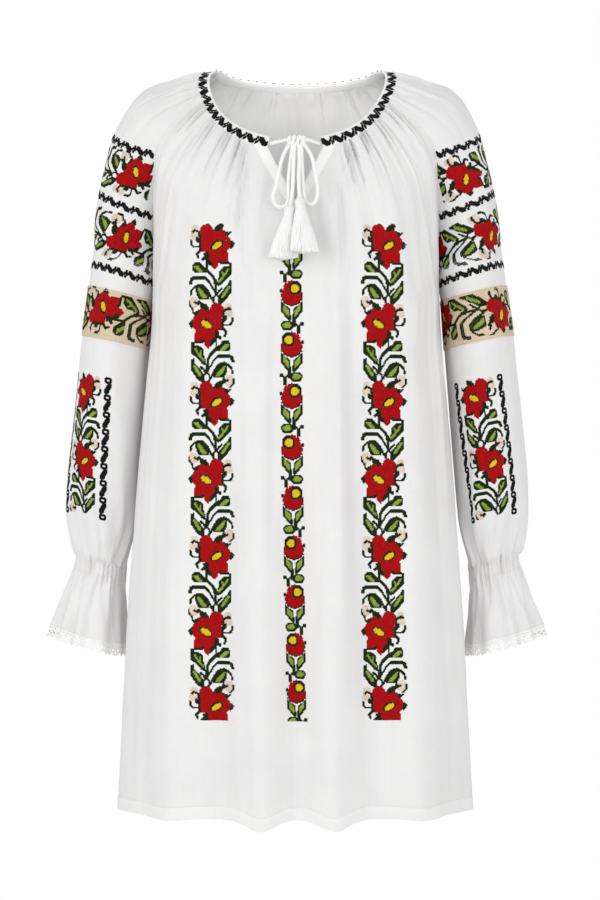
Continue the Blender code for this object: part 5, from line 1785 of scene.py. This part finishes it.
def add_embroidery(name, slot, spots, cell=STITCH):
    """All the stitches of one piece of cloth, as one plain mesh."""
    spots = np.concatenate(spots)
    mesh = bpy.data.meshes.new(name)
    mesh.from_pydata(spots[:, :3].tolist(), [], [])
    for label, columns in (("outward", slice(3, 6)), ("along_row", slice(6, 9))):
        kept = mesh.attributes.new(label, "FLOAT_VECTOR", "POINT")
        kept.data.foreach_set("vector", spots[:, columns].astype(np.float32).reshape(-1))
    mesh.attributes.new("thread", "INT", "POINT").data.foreach_set("value", spots[:, 9].astype(np.int32))
    print(name, len(spots), "stitches")
    return ride(grown(placed(name, mesh), STITCH_TREE, Cell=cell), slot)


# %% Roses and buds down the front
ROSE_ROWS, BUD_ROWS, BUD_FIRST_ROW = 439, 423, 5
ROSE_PANELS = ((-0.1264, -0.1888), (0.0719, -0.1888))  # left edge and top of each
BUD_PANEL = (-0.0213, -0.2247)
# stretch, even rows, shrink of the rows after them, of the columns, and drift: all by row
ROSE_EASE, BUD_EASE = (1.04, 0, 0.00018, 0, 0), (1.009, 150, 0.0004, 0.0005, 0.017)
roses = rose_panel(ROSE_ROWS)
front_spots = [spots_on_front(roses, *corner, ROSE_EASE) for corner in ROSE_PANELS]
front_spots.append(spots_on_front(bud_panel(BUD_ROWS, BUD_FIRST_ROW), *BUD_PANEL, BUD_EASE))
front_embroidery = add_embroidery("front_embroidery", "white_cotton", front_spots)

# %% Bands round the arms, and panels down them
BAND_ROWS, TAN_CELL = 5 * ROSE_REPEAT, 0.00136
ROSE_MIDDLE_ROW = 18
ROSE_BANDS = (  # section; for each sleeve, the column under a rose, and whether it faces down
    (4.03, {"left": (2.98, True), "right": (2.20, False)}),
    (6.20, {"left": (6.40, True), "right": (4.05, False)}),
    (8.50, {"left": (7.20, True), "right": (5.95, False)}),
)
BRAID_BANDS = (3.22, 4.96, 7.47)
BRAID, NECK_BRAID = (12, 7, 4.0), (13, 8, 5.0)  # repeat, width and solid strand, in stitches
LOW_PANEL_CELL, LOW_PANEL_ROWS, LOW_PANEL_SECTION = 0.00118, 140, 9.56
LOW_PANELS = {"left": (4.45, 4.0), "right": (6.85, -2.5)}  # column, and its lean per metre
LOW_CHAIN, LOW_CHAIN_ROWS, LOW_CHAIN_ASIDE = (17, 9), 142, 26
for hand, side in SIDES.items():
    spots = []
    for section_at, roses_at in ROSE_BANDS:
        column_at, faces_down = roses_at[hand]
        row_at = 2 * ROSE_REPEAT + ROSE_MIDDLE_ROW
        on_tan = TAN_TOP < section_at < TAN_BOTTOM
        lift, size = (LAID_GAP + TAN_WALL, TAN_CELL) if on_tan else (0.0, STITCH)
        chart = rose_panel(BAND_ROWS, first_mirrored=faces_down)
        spots.append(spots_on_sleeve(hand, chart, section_at, column_at, row_at, True, size, lift))
    for section_at in BRAID_BANDS:
        columns = round(line_length(sleeve_line(section_at)) / STITCH)
        braid = braid_panel(columns, *BRAID)
        start = 0 if side > 0 else columns
        spots.append(spots_on_sleeve(hand, braid, section_at, 0.0, start, True))
    column_at, lean = LOW_PANELS[hand]
    chart = rose_panel(LOW_PANEL_ROWS, first_mirrored=True, roses=2)
    spots.append(spots_on_sleeve(hand, chart, LOW_PANEL_SECTION, column_at, cell=LOW_PANEL_CELL, lean=lean))
    chain = chain_panel(LOW_CHAIN_ROWS, *LOW_CHAIN)
    per_metre = SLEEVE_COLUMNS / line_length(sleeve_line(LOW_PANEL_SECTION))
    for aside in (-1, 1):
        beside = column_at + side * aside * LOW_CHAIN_ASIDE * LOW_PANEL_CELL * per_metre
        spots.append(
            spots_on_sleeve(hand, chain, LOW_PANEL_SECTION, beside, cell=LOW_PANEL_CELL, lean=lean)
        )
    add_embroidery(f"sleeve_{hand}_embroidery", "white_cotton", spots)

# %% The braid on the neckband
NECK_CELL, NECK_OUT, RIM_DOTS_FROM, RIM_DOTS_APART = 0.0013, 0.06, 0.02, 0.0108


def spots_on_neckband():
    length = line_length(neck_edge)
    chart = braid_panel(int(length / NECK_CELL), *NECK_BRAID).T
    found = []
    for row, line in enumerate(chart):
        share_up = 0.5 + (row + 0.5 - len(chart) / 2) * NECK_CELL / BAND_HEIGHT
        columns = np.nonzero(line)[0]
        face = band_face(share_up, NECK_OUT * BAND_WALL)
        distances = (columns + 0.5) * NECK_CELL * line_length(face) / length
        outward = read_at(distances, run_along(face), neck_outward)
        spots = (along(face, distances), outward, ahead_on(face, distances), line[columns][:, None])
        found.append(np.hstack(spots))
    return np.concatenate(found)


def spots_on_rim():
    """Where the braid's strands reach over the piping at the back."""
    run = run_along(rim)
    distances = np.arange(0, run[-1], RIM_DOTS_APART)
    distances = (distances[:, None] + NECK_CELL * np.array([0.0, 0.8])).reshape(-1)
    places, upward, outward = (read_at(distances, run, v) for v in (rim, neck_upward, neck_outward))
    above = unit(upward + 0.5 * outward)
    behind = places[:, 1] > RIM_DOTS_FROM
    shades = np.full((len(distances), 1), SHADES.index("black"))
    spots = (places + above * PIPING / 2, above, ahead_on(rim, distances), shades)
    return np.hstack(spots)[behind]


add_embroidery("neck_braid", "black_braid", [spots_on_neckband(), spots_on_rim()], NECK_CELL)

# %% [markdown]
# ## Lace on the frills
# The edging is a narrow cotton lace with a straight heading, a row of leaf-shaped holes and
# a scalloped edge. Its holes are about a millimetre wide, so it is charted like the
# embroidery: squares that hold thread become cloth, the others stay open. The grid follows
# the frill's waves, and a little smoothing rounds every corner.

# %% The lace's chart
LACE_REPEAT, LACE_ROWS, LACE_SCALLOPS = 9, 15, 34


def lace_chart(columns):
    chart = Chart(LACE_ROWS, columns)
    chart.squares[:] = SHADES.index("cream")
    across = (chart.across % LACE_REPEAT) - LACE_REPEAT / 2
    edge = LACE_ROWS - 3.2 * (1 - np.sqrt(np.clip(1 - (across / 4.9) ** 2, 0, 1))) * 2.2
    chart.squares[chart.down > edge] = 0
    for left in range(0, columns, LACE_REPEAT):
        for x in (1, 4, 7):
            chart.disc("bare", (left + x + 0.5, 2.5), 0.6, 0.6)
        chart.stroke("bare", 1.2, (left + 1.5, 8.5), (left + 3.4, 5.5))
        chart.stroke("bare", 1.2, (left + 7.5, 8.5), (left + 5.6, 5.5))
        chart.disc("bare", (left + 4.5, 9.5), 0.6, 1.1)
        for x, y in ((2.5, 11.5), (6.5, 11.5), (4.5, 12.5)):
            chart.disc("bare", (left + x, y), 0.6, 0.6)
    return chart.squares


# %% Lace
LACE_WALL, LACE_OFFSET, LACE_START = 0.0006, -0.7, 17.985
LACE_WELD, LACE_SMOOTHING, LACE_ROUNDS = 1e-5, 0.35, 2


def add_lace(name, panel, squares):
    """Cloth where the chart holds thread, welded round the frill into a ring."""
    tall, wide = squares.shape
    numbers = LACE_START + (LACE_END - LACE_START) * np.linspace(0, 1, tall + 1)
    grid, _ = panel.at(*np.meshgrid(numbers, np.linspace(0, SLEEVE_COLUMNS, wide + 1), indexing="ij"))
    faces = grid_faces(tall + 1, wide + 1, panel.sign)[squares.reshape(-1) > 0]
    mesh = bpy.data.meshes.new(name)
    mesh.from_pydata(grid.reshape(-1, 3).tolist(), [], faces.tolist())
    with reshaped(mesh) as shape:
        bmesh.ops.delete(shape, geom=[v for v in shape.verts if not v.link_faces], context="VERTS")
        bmesh.ops.remove_doubles(shape, verts=shape.verts, dist=LACE_WELD)
        for _ in range(LACE_ROUNDS):
            bmesh.ops.smooth_vert(
                shape, verts=shape.verts, factor=LACE_SMOOTHING,
                use_axis_x=True, use_axis_y=True, use_axis_z=True,
            )
    return walled(add_object(name, mesh, lace_cotton), LACE_WALL, LACE_OFFSET)


for hand in SIDES:
    chart = lace_chart(LACE_REPEAT * LACE_SCALLOPS)
    edging = add_lace(f"lace_{hand}_cotton", panels["lace", hand], chart)
    ride(edging, "cotton_lace", f"lace_{hand}")

# %% [markdown]
# ## Seams
# Hems, facings and bands are sewn with a short running stitch in white cotton. A stitch is
# only a small raised bar, so one bar is copied along each seam's line by Geometry Nodes.

# %% Running stitches
STITCH_PITCH, STITCH_SIZE = 0.0034, (0.0021, 0.0005, 0.0004)
SEAM_LIFT, EDGE_POINTS = 0.0002, 80


def running_tree(finish):
    tree = Tree("running_stitch", Pitch=STITCH_PITCH)
    line = tree.node("GeometryNodeMeshToCurve", Mesh=tree.given[0])
    pitch = tree.given["Pitch"]
    even = tree.node("GeometryNodeResampleCurve", {"mode": "LENGTH"}, Curve=line, Length=pitch)
    tangent = tree.node("GeometryNodeInputTangent")
    facing = tree.node("FunctionNodeAlignRotationToVector", {"axis": "X"}, Vector=tangent)
    bar = tree.node("GeometryNodeMeshCube", Size=STITCH_SIZE)
    copies = tree.node("GeometryNodeInstanceOnPoints", Points=even, Instance=bar, Rotation=facing)
    return tree.finish(tree.dressed(copies, finish, is_round=False))


RUNNING_TREE = running_tree(seam_cotton)


def seam_line(panel, number=None, column=None, first=0.0, last=1.0, lift=SEAM_LIFT):
    """A line along a section, or down a column between two sections."""
    if number is None:
        numbers = np.linspace(first, last, EDGE_POINTS)
        columns = np.full(EDGE_POINTS, float(column))
    else:
        columns = np.linspace(panel.columns[0], panel.columns[-1], LINE_POINTS)
        numbers = np.full(LINE_POINTS, float(number))
    places, outward = panel.at(numbers, columns)
    return places + outward * lift


def add_seams(name, lines):
    return ride(grown(add_lines(name, lines), RUNNING_TREE, Pitch=STITCH_PITCH), "white_cotton")


HEM_SEAM, TAN_EDGE, FACING_EDGE = 12.85, 0.045, 0.15
FACING_SEAM_FROM, FACING_SEAM_TO = 0.1, SLIT_END - 0.05
on_facing, on_band = LAID_GAP + FACING_WALL + SEAM_LIFT, LAID_GAP + TAN_WALL + SEAM_LIFT
seams = {"front": [], "back": []}
for hand in SIDES:
    front = panels["front", hand]
    seams["front"] += [
        seam_line(front, number=HEM_SEAM),
        seam_line(front, column=FACING_COLUMNS - FACING_EDGE, last=SLIT_END, lift=on_facing),
        seam_line(front, column=FACING_EDGE, first=FACING_SEAM_FROM, last=FACING_SEAM_TO, lift=on_facing),
    ]
    seams["back"].append(seam_line(panels["back", hand], number=HEM_SEAM))
    seams["sleeve", hand] = [
        seam_line(panels["sleeve", hand], number=number, lift=on_band)
        for number in (TAN_TOP + TAN_EDGE, TAN_BOTTOM - TAN_EDGE)
    ]
    for number in (WRIST, CUFF_END):
        seams["sleeve", hand].append(seam_line(panels["sleeve", hand], number=number))
front_seams = add_seams("front_seams", seams["front"])
back_seams = add_seams("back_seams", seams["back"])
sleeve_seams = {hand: add_seams(f"sleeve_{hand}_seams", seams["sleeve", hand]) for hand in SIDES}

# %% [markdown]
# ## The cloth's area
# The front and the back are gathered from a wider cut at the neck; a sleeve is a tube that is
# gathered at both ends, with its frill in one piece. The area of the front and of one sleeve,
# in all their folds, is printed.

# %% Sheets
def cloth_area(made):
    """One side of a shell, from the sum of all its faces."""
    return sum(face.area for face in made.data.polygons) / 2


for label, made in (("front", cloth["front"]), ("sleeve", cloth["sleeve", "left"])):
    print(label, "cloth:", round(cloth_area(made), 3), "m2 in all its folds")

# %% Triangles in the scene
total = 0
for made in bpy.context.scene.objects:
    if made.type == "MESH":
        total += sum(len(face.vertices) - 2 for face in made.data.polygons)
print("triangles in the scene:", total)
